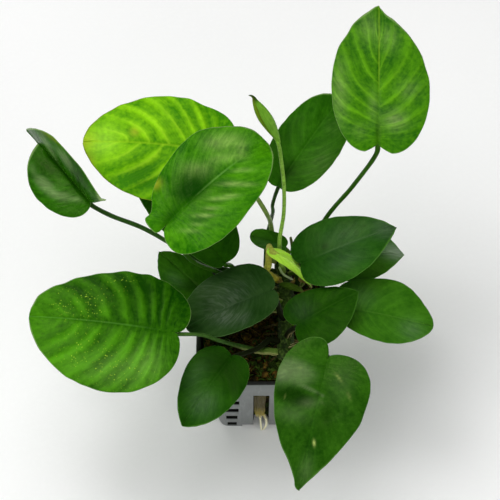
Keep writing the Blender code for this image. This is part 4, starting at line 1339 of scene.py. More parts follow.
@dataclass
class GrowingMedium:
    """A plug of wet peat and coir with loose fibres, moss and the rhizome's holding roots on top."""

    clearance: float = 0.25      # to the pot's wall
    litter: tuple = (
        Litter("coir_fibres_dark", 800, (2.5, 9.0), (0.08, 0.24), 1.2, 21,
               RawSurface("#1a1207", "#3a2a0f", "#64481c", 0.7, 5.0, 0.9, 0.1)),
        Litter("coir_fibres_pale", 114, (2.0, 7.0), (0.08, 0.18), 1.4, 22,
               RawSurface("#54401c", "#7c6230", "#a08a44", 0.7, 5.0, 0.9, 0.1)),
        Litter("moss_threads", 1100, (1.2, 3.6), (0.20, 0.46), 1.8, 23,
               RawSurface("#121a06", "#28380e", "#4c6420", 0.7, 6.0, 1.6, 0.1, specular=0.12),
               ((9.0, -14.0, 2.6), (9.4, -5.0, 2.6), (9.4, 5.0, 2.6), (8.8, 15.0, 2.8), (5.0, -8.5, 3.0),
                (9.0, -11.0, 2.2), (-0.5, -14.0, 3.2), (4.0, -16.5, 3.0), (7.0, -18.5, 3.0),
                (-16.0, -7.0, 3.0), (-14.0, 12.0, 4.0), (18.0, 14.0, 3.5), (17.0, -14.0, 3.5))),
        Crumbs("bark_crumbs", 340, (0.8, 2.4), (0.5, 1.5), 0.2, 24,
               RawSurface("#1a1408", "#43320f", "#7c6024", 0.75, 5.0, 1.6, 0.15)),
        Crumbs("perlite_grains", 9, (0.8, 2.4), (0.35, 0.6), 0.2, 25,
               RawSurface("#b9b7ae", "#dddbd2", "#f2f1ea", 0.8, 1.5, 0.3, 0.1, specular=0.4)))
    holding_roots: int = 16
    root_skin: RawSurface = RawSurface("#221e0e", "#40371a", "#6e6030", 0.6, 2.5, 0.5, 0.15, specular=0.2)

    FLOOR_GAP = 0.3              # under the plug
    WALL_ROWS, TOP_ROWS = 84, 44
    LITTER_MARGIN, ROOT_MARGIN = 1.2, 1.5    # to the wall, mm

    def top(self, x: np.ndarray, y: np.ndarray) -> np.ndarray:
        """Height of the plug's top: a low crown, 1 - the squared share of the way to the wall, and lumps.

        Args:
            x: places to the right, mm.
            y: places to the back, mm.
        Returns:
            Heights above the table.
        """
        share = np.maximum(np.abs(x), np.abs(y)) / self.reach_to_wall(0.0)
        crown = (PLUG_CROWN_HEIGHT - PLUG_EDGE_HEIGHT) * (1 - np.clip(share, 0, 1) ** 2)
        place = np.stack(np.broadcast_arrays(x, y), -1)
        return PLUG_EDGE_HEIGHT - 0.9 + crown + 0.55 * lumps(place, 3.5, 11) + 0.35 * lumps(place, 1.3, 12)

    def reach_to_wall(self, margin: float) -> float:
        """Half the pot's inside width at the plug's edge, less a margin."""
        return half_width_at(PLUG_EDGE_HEIGHT) - POT_WALL - margin

    def build(self) -> None:
        """The plug, then the fibres, moss and crumbs strewn over it, and the roots that hold the rhizome."""
        self.build_plug()
        for litter in self.litter:
            shell = Shell()
            sweep(shell, *litter.shape(*self.strew(litter)), litter.sides)
            dress(shell.build(litter.name, litter.finish.material(litter.name.replace("_", " "))), Slot.PLUG)
        self.build_holding_roots()

    def build_plug(self) -> None:
        """Rings from the floor up the wall and in over the top, with a hollow behind the front window."""
        inset = POT_WALL + self.clearance
        heights = np.linspace(POT_FLOOR + self.FLOOR_GAP, PLUG_EDGE_HEIGHT - 2.0, self.WALL_ROWS)
        shares = np.linspace(0.985, 0.02, self.TOP_ROWS)
        halves = np.concatenate([half_width_at(heights) - inset, self.reach_to_wall(self.clearance) * shares])
        corners = np.concatenate([corner_at(heights) - inset, (corner_at(PLUG_EDGE_HEIGHT) - inset) * shares])
        plan = square_ring(halves, corners, 40, 8)
        x, y = plan[..., 0], plan[..., 1]
        on_top = np.arange(len(halves))[:, None] >= len(heights)
        z = np.where(on_top, self.top(x, y), np.concatenate([heights, 0 * shares])[:, None])
        points = np.stack([x, y, z], -1)
        pit = 0.5 * (lumps(points, 2.2, 5) - 1.0)
        points[..., :2] *= 1 + np.where(on_top, 0.0, pit / halves[:, None])[..., None]
        back = -(half_width_at(z) - POT_WALL - ROOT_GROOVE_DEPTH)
        half = WINDOW_WIDTH / 2 + ROOT_GROOVE_SIDE
        in_groove = (np.abs(points[..., 0]) < half) & (points[..., 1] < back) & (z < WINDOW_TOP) & ~on_top
        points[..., 1] = np.where(in_groove, back, points[..., 1])
        shell = Shell()
        shell.add_rings(points, np.array([0.0, 0.0, heights[0]]), np.array([0.0, 0.0, self.top(0.0, 0.0)]))
        dress(shell.build("peat_plug", MossyPeat().material("wet mossy peat")), Slot.PLUG, "growing_medium")

    def strew(self, litter: Litter) -> tuple:
        """Short curved threads over the top: each runs from a random place in a random direction.

        A thread's point at share s is start + direction * length * s + sideways * curl * sin(pi s), on the
        plug's top, raised by arch * sin(pi s).

        Args:
            litter: what is strewn.
        Returns:
            Paths (count, points, 3) and radii (count, points).
        """
        rng, count = np.random.default_rng(litter.seed), litter.count
        inner = self.reach_to_wall(self.LITTER_MARGIN)
        start = rng.uniform(-inner, inner, (count, 1, 2))
        if litter.clusters:
            chosen = np.array(litter.clusters)[rng.integers(0, len(litter.clusters), count)]
            start = (chosen[:, :2] + rng.normal(size=(count, 2)) * chosen[:, 2:]).clip(-inner, inner)[:, None]
        heading = rng.uniform(0, tau, (count, 1))
        size = rng.uniform(*litter.length, (count, 1))
        curl = rng.normal(0, 0.3, (count, 1)) * size
        s = np.linspace(0, 1, 9)
        ahead, bow = s * size, curl * np.sin(pi * s)
        x = start[..., 0] + ahead * np.cos(heading) - bow * np.sin(heading)
        y = start[..., 1] + ahead * np.sin(heading) + bow * np.cos(heading)
        x = x.clip(-inner, inner) + 0.02 * np.sin(9 * s)
        y = y.clip(-inner, inner) + 0.02 * np.cos(7 * s)
        lift = rng.uniform(0.0, litter.arch, (count, 1)) * np.sin(pi * s)
        thick = rng.uniform(*litter.radius, (count, 1)) * (1 - 0.7 * (2 * s - 1) ** 4)
        return np.stack([x, y, self.top(x, y) + lift + 0.05], -1), thick

    def build_holding_roots(self) -> None:
        """Roots from the rhizome's flanks, out and down into the plug: quadratic Bezier arcs."""
        rng, count = np.random.default_rng(31), self.holding_roots
        y = np.linspace(-15.0, 21.0, count) + rng.uniform(-0.8, 0.8, count)
        side = np.where(np.arange(count) % 2 == 0, -1.0, 1.0)
        axis = np.stack([RHIZOME.centre(value) for value in y])
        reach = rng.uniform(3.0, 8.0, count)
        start = axis + np.stack([side * 2.2, 0 * y, -1.6 + 0 * y], -1)
        limit = self.reach_to_wall(self.ROOT_MARGIN)
        end_x = (start[:, 0] + side * reach).clip(-limit, limit)
        end_y = (y + rng.uniform(-4.0, 4.0, count)).clip(-limit, limit)
        end = np.stack([end_x, end_y, self.top(end_x, end_y) - 1.5], -1)
        knee = (start + end) / 2 + np.stack([side * 1.2, 0 * y, 1.8 + 0 * y], -1)
        s = np.linspace(0, 1, 24)[:, None]
        paths = (1 - s) ** 2 * start[:, None] + 2 * s * (1 - s) * knee[:, None] + s ** 2 * end[:, None]
        paths = paths + 0.15 * np.stack([lumps(paths, 2.0, seed) for seed in (41, 42, 43)], -1)
        radii = rng.uniform(0.45, 0.7, (count, 1)) * (1 - 0.3 * s[:, 0])
        shell = Shell()
        sweep(shell, paths, radii, 12)
        dress(shell.build("holding_roots", self.root_skin.material("holding root")), Slot.ROOT)


# ---- pot ----
@dataclass
class NetPot:
    """The moulded pot: a tapered square shell with a stepped rim, windows, slots and corner feet."""

    side_points: int = 12
    corner_points: int = 10
    edge: float = 0.22           # radius of its moulded edges
    sharp: float = 35.0          # degrees from which an edge is one
    spare: float = 1.0           # how far a cutter runs past the wall

    BOX_FACES = ((0, 2, 6, 4), (1, 5, 7, 3), (0, 4, 5, 1), (2, 3, 7, 6), (0, 1, 3, 2), (4, 6, 7, 5))

    def build(self) -> None:
        """The skin, cut by boxes for the openings and given rounded edges, in place of the solid."""
        plastic = PottingPlastic().material("moulded grey polypropylene")
        body = self.skin(plastic)
        cutters = [self.boxes(name, corners, plastic) for name, corners in (
            ("windows", self.window_boxes()), ("slots", self.slot_boxes()), ("feet", self.foot_boxes()))]
        for cutter in cutters:
            cut = body.modifiers.new(cutter.name, "BOOLEAN")
            cut.operation = "DIFFERENCE"
            cut.object = cutter
        edge = body.modifiers.new("edge", "BEVEL")
        edge.width = self.edge * MM
        edge.segments = 2
        edge.limit_method = "ANGLE"
        edge.angle_limit = radians(self.sharp)
        edge.use_clamp_overlap = True
        bpy.context.view_layer.update()
        evaluated = body.evaluated_get(bpy.context.evaluated_depsgraph_get())
        mesh = bpy.data.meshes.new_from_object(evaluated)
        mesh.shade_smooth()
        mesh.set_sharp_from_angle(angle=radians(self.sharp))
        points = np.empty(len(mesh.vertices) * 3, np.float32)
        mesh.vertices.foreach_get("co", points)
        write_field(mesh, "recess", self.recess(points.reshape(-1, 3) / MM))
        piece = link(bpy.data.objects.new("net_pot", mesh))
        for spent in (body, *cutters):
            bpy.data.objects.remove(spent, do_unlink=True)
        dress(piece, Slot.POT, "pot")

    def recess(self, points: np.ndarray) -> np.ndarray:
        """How deep points lie behind the outer face, in mm: half width less the reach of a rounded square.

        Args:
            points: array (count, 3).
        Returns:
            Their depths.
        """
        height = points[:, 2]
        proud = RIM_PROUD * ease(height, POT_HEIGHT - RIM_DEPTH, POT_HEIGHT - RIM_DEPTH + RIM_PROUD)
        corner = corner_at(height)
        out = np.abs(points[:, :2]) - (half_width_at(height) + proud - corner)[:, None]
        reach = np.linalg.norm(np.maximum(out, 0.0), axis=1) + np.minimum(out.max(1), 0.0)
        return (corner - reach) * ease(height, 0.3, 1.2)

    def skin(self, plastic: bpy.types.Material) -> bpy.types.Object:
        """Rings down the outside, over the rim, down the inside and across the floor.

        Args:
            plastic: the pot's material.
        Returns:
            The uncut pot.
        """
        low = POT_HEIGHT - RIM_DEPTH
        height, half_more, corner_more = np.array([
            (0.0, 0.0, 0.0), (low, 0.0, 0.0), (low + RIM_PROUD, RIM_PROUD, 0.0), (POT_HEIGHT, RIM_PROUD, 0.0),
            (POT_HEIGHT, -POT_WALL, -POT_WALL / 2), (POT_FLOOR, -POT_WALL, -POT_WALL / 2)]).T
        plan = square_ring(half_width_at(height) + half_more, corner_at(height) + corner_more,
                           self.side_points, self.corner_points)
        points = np.concatenate([plan, np.broadcast_to(height[:, None, None], (*plan.shape[:2], 1))], -1)
        shell = Shell()
        shell.add_rings(points, np.array([0.0, 0.0, 0.0]), np.array([0.0, 0.0, POT_FLOOR]))
        return shell.build("pot_skin", plastic)

    def window_boxes(self) -> list:
        """One tall window low in the middle of each wall, as (low corner, high corner) on the front wall."""
        outer, inner = POT_TOP / 2 + self.spare, POT_BASE / 2 - WINDOW_REACH
        return [((-WINDOW_WIDTH / 2, -outer, -self.spare), (WINDOW_WIDTH / 2, -inner, WINDOW_TOP))]

    def slot_boxes(self) -> list:
        """A column of slots on either side of the window.

        Returns:
            Their low and high corners.
        """
        boxes = []
        for side in (-1, 1):
            for level, near, far in SLOTS:
                low, high = level - SLOT_HEIGHT / 2, level + SLOT_HEIGHT / 2
                left, right = sorted((side * near, side * far))
                inner = half_width_at(low) - POT_WALL - self.spare / 2
                boxes.append(((left, -(half_width_at(high) + self.spare), low), (right, -inner, high)))
        return boxes

    def foot_boxes(self) -> list:
        """The gaps that lift the wall between the corner feet.

        Returns:
            Their low and high corners.
        """
        outer, inner = POT_TOP / 2 + self.spare, POT_BASE / 2 - WINDOW_REACH + self.spare
        boxes = []
        for side in (-1, 1):
            left, right = sorted((side * (WINDOW_WIDTH / 2 - self.spare), side * FOOT_GAP_WIDTH / 2))
            boxes.append(((left, -outer, -self.spare), (right, -inner, FOOT_GAP_LIFT)))
        return boxes

    def boxes(self, name: str, corners: list, plastic: bpy.types.Material) -> bpy.types.Object:
        """A cutter of boxes given on the front wall and turned to all four.

        Args:
            name: the cutter's name.
            corners: low and high corners.
            plastic: the pot's material.
        Returns:
            The cutter.
        """
        shell = Shell()
        for low, high in corners:
            grid = np.stack(np.meshgrid(*zip(low, high), indexing="ij"), -1)
            for c, s in ((1, 0), (0, 1), (-1, 0), (0, -1)):
                numbers = shell.add_points(grid @ np.array([[c, s, 0], [-s, c, 0], [0, 0, 1]], float)).ravel()
                shell.faces.append(numbers[np.array(self.BOX_FACES)])
        return shell.build(name, plastic)


# ---- the plant ----
LEAVES = (
    Leaf("01", Blade((41.7, 35.6, 122), 88, 20, 59, (17.5, 18.7), lobe=(1.2, 1.6), notch=(0.27, 0.27),
                     sinus=2.2, widest=(0.4, 0.39), point=(1.8, 2.2), droop=20, roll=-4,
                     nicks=((0, 0.78, -0.9, 0.06), (0, 0.64, -0.5, 0.04), (1, 0.84, 0.9, 0.07),
                            (1, 0.66, -0.4, 0.04))),
         Stem(18.5, 52, ((24.4, 33, 79), (34, 35, 99))), Slot.LEAF_BRIGHT, FRESH, relief=Relief(quilt=0.36),
         stains={Tint.SHEEN: ((6, 11, 4, 0.16), (-14.5, 20, 3, 0.13, 4.0), (11, 23, 4, 0.07),
                  (-2, 16, 2, 0.08, 3.0), (-7, 6, 3, 0.06), (-4, 48, 4, 0.1, 1.6), (4, 44, 3.5, 0.08, 1.6)),
                 Tint.DARK: ((0, 6, 1.2, 0.5, 4.0),)}),
    Leaf("02", Blade((6.2, 35.6, 98), 56, 16, 44.5, (12.2, 12.8), lobe=(1.0, 0.7), notch=(0.16, 0.2),
                     widest=(0.47, 0.44), point=(1.0, 1.1), fold=(8, 8), cup=(-8, -8), roll=-4),
         Stem(20.0, -85, ((1.8, 27, 62), (2.6, 34.5, 66), (4.0, 37.8, 72), (4.4, 35.8, 80), (4.2, 34.9, 86)),
              radius=0.75), Slot.LEAF_DARK, DARK, stem_slot=Slot.STEM_DARK, stem_skin=STEM_DARK,
         stains={Tint.SHEEN: ((10, 16, 5, 0.05, 1.6), (5, 31, 4, 0.03)),
                 Tint.DARK: ((0, 7, 6, 0.55), (-9, 14, 5, 0.5, 1.6), (0, 5, 1.5, 0.4, 3.0)),
                 Tint.BRIGHT: ((-2, 26, 6, 0.5, 1.6),)}),
    Leaf("03", Blade((-14.7, 40.7, 112), 172, 8, 52.7, (22.7, 18.6), lobe=(4.2, 3.4), notch=(0.43, 0.42),
                     point=(1.4, 1.15), droop=24, fold=(8, 8), cup=(-8, -8), roll=14,
                     nicks=((1, 0.4, 0.9, 0.05), (0, 0.68, -0.7, 0.1))),
         Stem(23.5, -60, ((4.2, 29.5, 66), (3.6, 35, 71.5), (2, 32.4, 83), (-1.6, 33, 93), (-8, 37, 104))),
         Slot.LEAF_LIME, LIME, stem_slot=Slot.STEM_PALE, stem_skin=STEM_OLIVE, relief=STRONG,
         stains={Tint.SHEEN: ((0, 45, 6, 0.06),),
                 Tint.DARK: ((-13, 28, 9, 0.22), (-14, 10, 10, 0.22)),
                 Tint.DULL: ((-13, 29, 10, 0.4), (-14, 10, 11, 0.4), (14, 6, 12, 0.3)),
                 Tint.BRIGHT: ((0, 44, 9, 1.0), (12.7, 28, 7, 0.25)),
                 Tint.YELLOW: ((0, 52, 4, 0.35), (4, 33, 1.6, 0.4), (-8, 50, 3, 0.3))}),
    Leaf("04", Blade((-33.1, 3.0, 124), 43, 19, 48, (17.1, 18.7), lobe=(5.7, 5.9), notch=(0.02, 0.42),
                     widest=(0.52, 0.25), point=(0.83, 1.15), droop=30, cup=(-8, -8), roll=-5,
                     nicks=((0, 0.21, -2.6, 0.07), (0, 0.6, -1.1, 0.13), (0, 0.27, 3.0, 0.05),
                            (1, 0.62, 0.5, 0.05))),
         Stem(9.5, -72, ((-8, 13.5, 64.5), (-17.5, 14.2, 71.5), (-22.3, 12, 79), (-26, 9.2, 88),
              (-30.5, 2.8, 112))), Slot.LEAF_BRIGHT, BRIGHT, relief=Relief(quilt=0.12, wave=0.6, buckle=0.5),
         # the sheen strokes are painted highlights, and the dark centre and narrow dark strokes painted shade
         stains={Tint.SHEEN: ((-7, 21, 2.8, 0.14, 2.0, 40), (-4, 30.8, 2.2, 0.2, 2.2, 60),
                  (-3, 38, 2.8, 0.12, 1.8, 150), (-9.5, 35, 3.5, 0.26, 1.8, 60), (6, 26, 0.9, 0.26, 4.6, 47),
                  (7, 19, 0.8, 0.26, 4.6, 47), (9, 22.5, 0.7, 0.18, 4.0, 47), (7.6, 14.5, 0.7, 0.2, 4.0, 45),
                  (7.7, 10.5, 0.8, 0.24, 4.4, 42), (8.5, 6.6, 0.7, 0.14, 4.0, 40), (8, 3, 0.9, 0.17, 3.6, 38),
                  (4, 32, 0.9, 0.2, 4.0, 50), (10, 30, 0.8, 0.16, 3.6, 50)),
                 Tint.DARK: ((-4, 14, 6, 0.8, 1.5, 80), (-1.0, 1.5, 2.2, 0.6, 2.0),
                  (-1, 15, 4.5, 0.4, 1.8, 80), (-9, 16, 3, 0.25, 2.0, 70), (7, 22.6, 1.0, 0.5, 4.0, 47),
                  (6.4, 16.6, 0.9, 0.45, 4.0, 47), (7, 12.6, 0.8, 0.45, 4.0, 44),
                  (7.8, 8.4, 0.8, 0.4, 4.0, 40)),
                 Tint.DULL: ((-10, 25, 4, 0.4, 1.6, 60),),
                 Tint.BRIGHT: ((10, 30, 9, 0.25), (-9, -1, 4, 0.6)),
                 Tint.YELLOW: ((-13.5, 7, 2.0, 0.35),)}),
    Leaf("05", Blade((-63, 23.8, 105), 129, 8.3, 39.9, (14.0, 12.7), lobe=(2.4, 7.1), notch=(0.31, 0.8),
                     widest=(0.38, 0.54), point=(1.23, 1.94), droop=9.8, fold=(8.3, 92.4), cup=(-28.7, -41.5),
                     roll=8.4, tail=(0.79, 1.0),
                     nicks=((1, 0.45, 0.6, 0.05), (1, 0.083, -5.8, 0.073))),
         Stem(12.5, -85, ((-7, 17.5, 63.5), (-19.5, 16.8, 71), (-27, 16.2, 80), (-44, 22.4, 89),
              (-56, 23.2, 97))), Slot.LEAF_DARK, GLOSSY, stem_slot=Slot.STEM_DARK, stem_skin=STEM_DARK,
         relief=Relief(quilt=0.08, wave=0.2, buckle=0.5),
         # the sheen patches are painted highlights, the bright one a painted lit band at the tip, and the
         # large dark ones painted shade
         stains={Tint.SHEEN: ((-8.2, 24.5, 1.2, 0.08, 2.2, 75, 3), (-8.6, 16, 2.0, 0.2, 2.6, 97, 3),
                  (-6.8, 8.6, 1.7, 0.15, 2.6, 123, 3), (-3.2, 3.8, 1.0, 0.12, 1.8, 130),
                  (6.5, 24.5, 2.3, 0.15, 2.4, 64, 3), (9, 15.5, 2.0, 0.16, 2.2, 80, 3),
                  (12.4, -5.5, 2.6, 0.42, 1.5, 60, 5)),
                 Tint.DARK: ((6.5, 22.5, 0.9, 0.7, 1.4, 60), (3.9, 19.4, 0.9, 0.7, 1.4, 60),
                  (9, 6.8, 4.5, 0.6, 1.4), (0, 14, 2.0, 0.6, 5.0), (-4, 22.5, 3.6, 0.6, 2.0)),
                 Tint.BRIGHT: ((6.5, 34, 2.8, 0.9, 1.8, 130),),
                 Tint.YELLOW: ((13.0, 20, 0.9, 0.16, 12.0, 104),)}),
    Leaf("06", Blade((-32, -16.8, 80), 174, 11, 54, (26.5, 20.0), lobe=(2.8, 4.9), notch=(0.26, 0.34),
                     widest=(0.39, 0.28), point=(1.3, 1.1), droop=18, roll=9,
                     nicks=((1, 0.86, -1.0, 0.08), (0, 0.74, 0.3, 0.02), (0, 0.66, -0.3, 0.02),
                            (0, 0.58, 0.3, 0.02), (1, 0.62, 0.3, 0.03))),
         Stem(-14.0, -74, ((0, -14, 60.3), (-9, -13.5, 63.5), (-16, -15.6, 71.5), (-22, -16, 76.5)),
              radius=0.75, sheath=1.3, open_length=22.0, flare=0.75), Slot.LEAF_MIDDLE, RIBBED,
         stem_skin=SHEATH_SPLIT, relief=replace(STRONG, scallop=0.13, crest=1.35, calm=0.47, crowding=2.5),
         # the sheen patches are painted highlights, the dark and dull ones paint shade on the upper half, and
         # the bright ones paint light on the lower half and tip
         stains={Tint.SHEEN: ((-18, 20, 6, 0.05, 2.0), (-13, 8, 6, 0.05)),
                 Tint.DARK: ((14, 10, 12, 0.35), (13, 29, 10, 0.3, 1.4)),
                 Tint.DULL: ((12, 6, 13, 0.4), (12, 26, 11, 0.4, 1.5)),
                 Tint.BRIGHT: ((-17, 38, 10, 0.4), (-14, 10, 8, 0.3), (0, 50, 9, 0.3)),
                 Tint.SPECKS: ((6, 39.5, 5.5, 1.3), (6, 31, 5.0, 1.2), (15, 22, 5, 0.6),
                  (-11, 30, 6, 1.2, 1.8), (-18, 18, 6, 1.0, 1.8))}),
    Leaf("07", Blade((-18.9, 5.4, 65), 134, 5, 30, (10.8, 7.5), lobe=(3.0, 3.0), notch=(0.45, 0.45),
                     widest=(0.35, 0.33), point=(1.9, 1.9), droop=10, fold=(8, 8), cup=(0, 0)),
         Stem(4.0, -88, ((-6, 4, 60),)), Slot.LEAF_DARK, LOWER,
         stains={Tint.SHEEN: ((-4.5, 16, 2.5, 0.04, 1.6),),
                 Tint.DARK: ((-2, 9, 5, 0.7),)}),
    Leaf("08", Blade((3.4, 2.8, 77), -161, -7, 35, (11.8, 15.2), lobe=(1.8, 2.5), notch=(0.24, 0.18),
                     widest=(0.37, 0.31), point=(1.1, 0.85)),
         Stem(-1.0, -20), Slot.LEAF_DUSKY, DUSKY, stem_skin=STEM_PAINTED_SHADE,
         stains={Tint.SHEEN: ((4, 16, 5.5, 0.08, 1.5), (-3.6, 20, 3.6, 0.1, 1.5, 60), (-7, 13.5, 2.8, 0.07),
                  (11, 23, 3.5, 0.04)),
                 Tint.DARK: ((4.5, 24, 2.0, 0.4, 2.0, 20), (-0.8, 14.5, 2.2, 0.3, 1.6))}),
    Leaf("09", Blade((-13.6, 12.9, 80), 133, 22, 47, (11.2, 15.7), lobe=(0.5, 0.6), notch=(0.18, 0.21),
                     widest=(0.57, 0.49), point=(0.75, 0.9), droop=20, fold=(8, 8), cup=(-4, -4), roll=-4),
         Stem(6.5, -50, ((-6, 11.5, 68.5), (-11.5, 15.6, 73))), Slot.LEAF_DARK, replace(DEEP, base=0.45)),
    Leaf("10", Blade((9.4, 26.4, 69), 168, 24, 14.7, (5.4, 4.2), lobe=(0.3, 0.3), notch=(0.42, 0.41),
                     widest=(0.39, 0.4), point=(0.8, 0.8), fold=(14, 14), cup=(0, 0)),
         Stem(24.5, 25, radius=0.7, sheath=0.8), Slot.LEAF_DARK, DEEP_PAINTED_LIGHT, relief=SMALL,
         stains={Tint.SHEEN: ((-3, 8, 2.4, 0.05, 2.0),)}),
    Leaf("11", Blade((15.1, 12.7, 80), 19, 16, 38.2, (12.9, 14.8), lobe=(2.6, 1.7), notch=(0.39, 0.39),
                     point=(2.1, 2.1), droop=14, fold=(7, 7), cup=(-4, -4)),
         Stem(12.5, 50, ((13.4, 16.8, 68), (14.6, 18.4, 74.6))), Slot.LEAF_DARK, SATIN, stem_skin=STEM_SHADED,
         stains={Tint.SHEEN: ((-3.5, 19, 5.5, 0.04, 1.8), (7, 15, 4.0, 0.04, 1.8), (-1, 34, 4.5, 0.06)),
                 Tint.DARK: ((-2.7, 10.4, 1.8, 0.5),),
                 Tint.BRIGHT: ((-11, 13, 2.5, 0.3, 3.0), (-1, 34, 5, 0.4))}),
    Leaf("12", Blade((24.5, 24.7, 68), 2, -2, 31.2, (14.1, 14.4), notch=(0.45, 0.45), widest=(0.32, 0.31),
                     point=(2.0, 2.0), droop=10, fold=(8, 8), cup=(0, 0)),
         Stem(15.0, 98, ((17.5, 18.5, 60.5),)), Slot.LEAF_MIDDLE, LOWER,
         # the sheen patch is a painted highlight on the tip, and the bright patch painted light
         stains={Tint.SHEEN: ((-0.5, 28, 3.6, 0.37, 1.5),),
                 Tint.BRIGHT: ((8, 16, 10, 0.8),)}),
    Leaf("13", Blade((31.2, -2.1, 72), -10, 1, 33.9, (15.2, 11.6), lobe=(3.8, 0.6), notch=(0.4, 0.34),
                     widest=(0.42, 0.43), point=(1.3, 1.2), fold=(5, 5)),
         Stem(-3.5, 70, ((20, -2.5, 62),)), Slot.LEAF_DARK, LOWER,
         stains={Tint.SHEEN: ((4, 26, 4.5, 0.05), (-6, 5, 5, 0.035)),
                 Tint.DULL: ((-2, 17, 6, 0.6),),
                 Tint.BRIGHT: ((-6.5, 5, 5, 0.9),)}),
    Leaf("14", Blade((13.3, -11.1, 76), 27, 15, 25.6, (10.1, 13.0), lobe=(3.0, 3.0), notch=(0.53, 0.5),
                     widest=(0.2, 0.26), point=(1.8, 1.8), droop=12, cup=(-4, -4)),
         Stem(-8.5, 12), Slot.LEAF_DARK, INNER, stem_skin=STEM_PAINTED_SHADE,
         stains={Tint.SHEEN: ((-4, 4, 4, 0.02),),
                 Tint.BRIGHT: ((3, 15, 5, 0.2),)}),
    Leaf("15", Blade((23.6, -30.4, 86), -104, -12, 49, (17.5, 16.4), lobe=(2.1, 6.7), notch=(0.32, 0.26),
                     widest=(0.2, 0.21), point=(2.4, 2.2), droop=30,
                     nicks=((1, 0.78, 0.7, 0.05), (1, 0.92, -1.0, 0.04), (0, 0.6, -0.5, 0.04))),
         Stem(-13.0, 50, ((17, -17, 67), (22, -24, 77))), Slot.LEAF_BRIGHT, CORDATE, stem_slot=Slot.STEM_PALE,
         stem_skin=STEM_SHADED, relief=replace(SOFT, wave=0.6, buckle=0.6),
         # the sheen patches are painted highlights on the lobe and dents, and the first dark patch a painted
         # shadow below the fold
         stains={Tint.SHEEN: ((11, 7.6, 4.4, 0.13, 1.7, -4, 4), (15, 11, 2.5, 0.08),
                  (4, 12.5, 0.45, 0.14, 8.0, -12), (-1.0, 13.8, 0.5, 0.1), (3, 17.4, 2.0, 0.06, 1.8, 20),
                  (8.5, 22.6, 2.6, 0.05, 2.2, 0), (-7, 8, 4.0, 0.03, 1.6), (-1, 41, 2.4, 0.05, 2.0)),
                 Tint.DARK: ((9, 16.4, 3.0, 0.8, 2.5, -4, 5), (-4, 21, 3.0, 0.5, 2.2, 85)),
                 Tint.DULL: ((-9, 22, 7, 0.35), (3, 3, 3, 0.4, 2.0)),
                 Tint.BRIGHT: ((0, 47, 5, 0.4),),
                 Tint.YELLOW: ((-1.8, 30.8, 0.45, 0.9, 2.2, 110), (-5.4, 6.4, 0.35, 0.32, 5.0, 138),
                  (-10.4, 12.0, 0.5, 0.16, 3.0, 120), (9, 6, 0.3, 0.7), (12, 17, 0.3, 0.6))},
         dents=((8.5, 9.0, 0, 8.0, 3.2, 0.9), (8.5, 16.6, -4, 7.5, 2.6, -1.2),
                (-1.2, 14.4, 0, 1.7, 1.5, -0.9), (3.0, 12.4, -12, 4.6, 0.8, 0.5),
                (0.0, 27.0, 90, 9.0, 2.2, -0.4), (-6, 20, 40, 7.0, 1.6, -0.4), (-5, 8, 90, 6.0, 2.0, 0.4))),
    Leaf("16", Blade((-11.4, -21.7, 70), -128, -11, 31.3, (12.1, 11.6), lobe=(2.2, 1.3), notch=(0.35, 0.33),
                     widest=(0.36, 0.31), point=(1.5, 1.8), fold=(5, 5)),
         Stem(-10.0, -62, ((-2, -15.5, 64.5),)), Slot.LEAF_MIDDLE, DEEP, stem_skin=STEM_PAINTED_SHADE,
         stains={Tint.SHEEN: ((-2, 20, 5, 0.05), (7, 13, 3.5, 0.03, 1.6)),
                 Tint.DARK: ((1, 4, 6.5, 0.8, 1.4, 0), (-8, 8, 4, 0.4)),
                 Tint.BRIGHT: ((3, 26, 3, 0.5),)}),
    Leaf("young", Blade((2.3, 16.0, 84), -19.5, -7.5, 26.8, (4.0, 3.2), lobe=(0.4, 0.4), notch=(0.3, 0.3),
                        widest=(0.34, 0.34), point=(1.82, 1.82), droop=75, fold=(-77, -46), cup=(25, 37),
                        roll=-36),
         Stem(15.8, -50, ((1.8, 16.9, 66.4), (2.6, 16.6, 72)), radius=1.25, sheath=1.6), Slot.LEAF_LIME,
         YOUNG, stem_slot=Slot.SHEATH, stem_skin=SHEATH_DRY, relief=SMALL,
         # the dark and dull patches paint the shade in the hollow under the curled blade
         stains={Tint.DARK: ((3.4, 15, 1.2, 0.4, 3.0),),
                 Tint.DULL: ((0, 25, 3.5, 1.0, 1.6), (-4, 13, 1.4, 0.8, 4.0), (0.6, 15, 0.5, 0.5, 16.0)),
                 Tint.BRIGHT: ((-1, 12, 3.0, 0.5, 2.0),)}),
)


# ---- studio ----
class SoftBox(NamedTuple):
    """A square light that faces the target."""

    towards: tuple               # where it hangs, seen from the target
    distance: float              # mm
    width: float                 # mm
    watts: float
    glare: bool                  # whether glossy surfaces mirror it


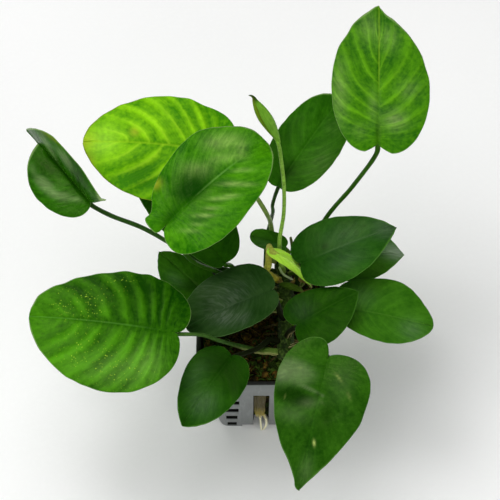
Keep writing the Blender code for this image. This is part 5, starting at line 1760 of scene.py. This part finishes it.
@dataclass
class Studio:
    """A pale floor, soft boxes and the camera of the photograph."""

    target: tuple = (-4.4, 12.4, 90.0)
    elevation: float = 59.0
    distance: float = 620.0
    lens: float = 120.74
    floor_radius: float = 6000.0
    floor_height: float = -0.05
    card: RawSurface = RawSurface("#fafaf9", "#fbfbfa", "#fcfcfb", 0.85, 60.0, 2.0, 0.02, specular=0.2)
    soft_boxes: tuple = (
        SoftBox((-0.25, 0.12, 0.96), 1000.0, 900.0, 7.0, False),
        SoftBox((-0.85, -0.25, 0.50), 1000.0, 700.0, 2.4, False),
        SoftBox((0.75, -0.50, 0.50), 1000.0, 700.0, 2.4, False),
        SoftBox((0.0, -0.85, 0.40), 1100.0, 800.0, 2.4, False),
        SoftBox((-0.28, 0.24, 0.92), 900.0, 300.0, 1.5, True),
        SoftBox((0.35, 0.50, 0.79), 1000.0, 240.0, 0.6, True))
    world: tuple = (0.95, 0.97, 1.0, 1.0)
    world_strength: float = 0.10

    SENSOR_WIDTH = 36.0
    CLIP = (0.01, 50.0)          # metres

    def build(self) -> None:
        """Camera, floor, lights and world."""
        self.place_camera()
        self.lay_floor()
        self.hang_lights()
        self.light_world()

    def place_camera(self) -> None:
        """A camera at the elevation over the front, level, looking at the target."""
        view = bpy.data.cameras.new("camera")
        view.lens = self.lens
        view.sensor_width = self.SENSOR_WIDTH
        view.clip_start, view.clip_end = self.CLIP
        camera = link(bpy.data.objects.new("camera", view))
        lift = radians(self.elevation)
        x, y, z = self.target
        camera.location = (x * MM, (y - self.distance * cos(lift)) * MM, (z + self.distance * sin(lift)) * MM)
        camera.rotation_euler = (pi / 2 - lift, 0.0, 0.0)
        bpy.context.scene.camera = camera

    def lay_floor(self) -> None:
        """A wide level disc just under the pot, of matt white card with a barely visible tooth."""
        angle = circle(96)
        radius = np.array([0.02, 0.2, 1.0])[:, None] * self.floor_radius
        level = np.full((len(radius), len(angle)), self.floor_height)
        shell = Shell()
        numbers = shell.add_points(np.stack([radius * np.cos(angle), radius * np.sin(angle), level], -1))
        wrapped = np.concatenate([numbers, numbers[:, :1]], 1)[::-1]
        shell.add_sheet(wrapped)
        shell.add_fan(shell.add_points(np.array([0.0, 0.0, self.floor_height])), wrapped[-1])
        shell.build("floor", self.card.material("matt white card"))

    def hang_lights(self) -> None:
        """Square soft boxes that face the target."""
        for number, box in enumerate(self.soft_boxes):
            lamp = bpy.data.lights.new(f"soft_box_{number}", "AREA")
            lamp.shape = "SQUARE"
            lamp.size = box.width * MM
            lamp.energy = box.watts
            light = link(bpy.data.objects.new(lamp.name, lamp))
            away = unit(np.array(box.towards))
            light.location = (np.array(self.target) + away * box.distance) * MM
            light.rotation_euler = (np.arccos(away[2]), 0.0, np.arctan2(away[1], away[0]) + pi / 2)
            light.visible_glossy = box.glare

    def light_world(self) -> None:
        """An even pale world, and the plain view transform that keeps the photo's strong greens."""
        world = bpy.data.worlds.new("studio")
        world.use_nodes = True
        feed(world.node_tree, world.node_tree.nodes["Background"],
             {"Color": self.world, "Strength": self.world_strength})
        bpy.context.scene.world = world
        bpy.context.scene.view_settings.view_transform = "Standard"


def main() -> None:
    """Build the plant, its pot and the studio, in order."""
    logging.basicConfig(level=logging.INFO, format="%(name)s %(message)s")
    plant = (*LEAVES, SpearStem(), RolledLeaf(), CrownPieces(), RHIZOME, GrowingMedium(), Roots(), NetPot())
    for thing in (Studio(), *plant):
        thing.build()
    bpy.context.view_layer.update()


if __name__ == "__main__":
    main()
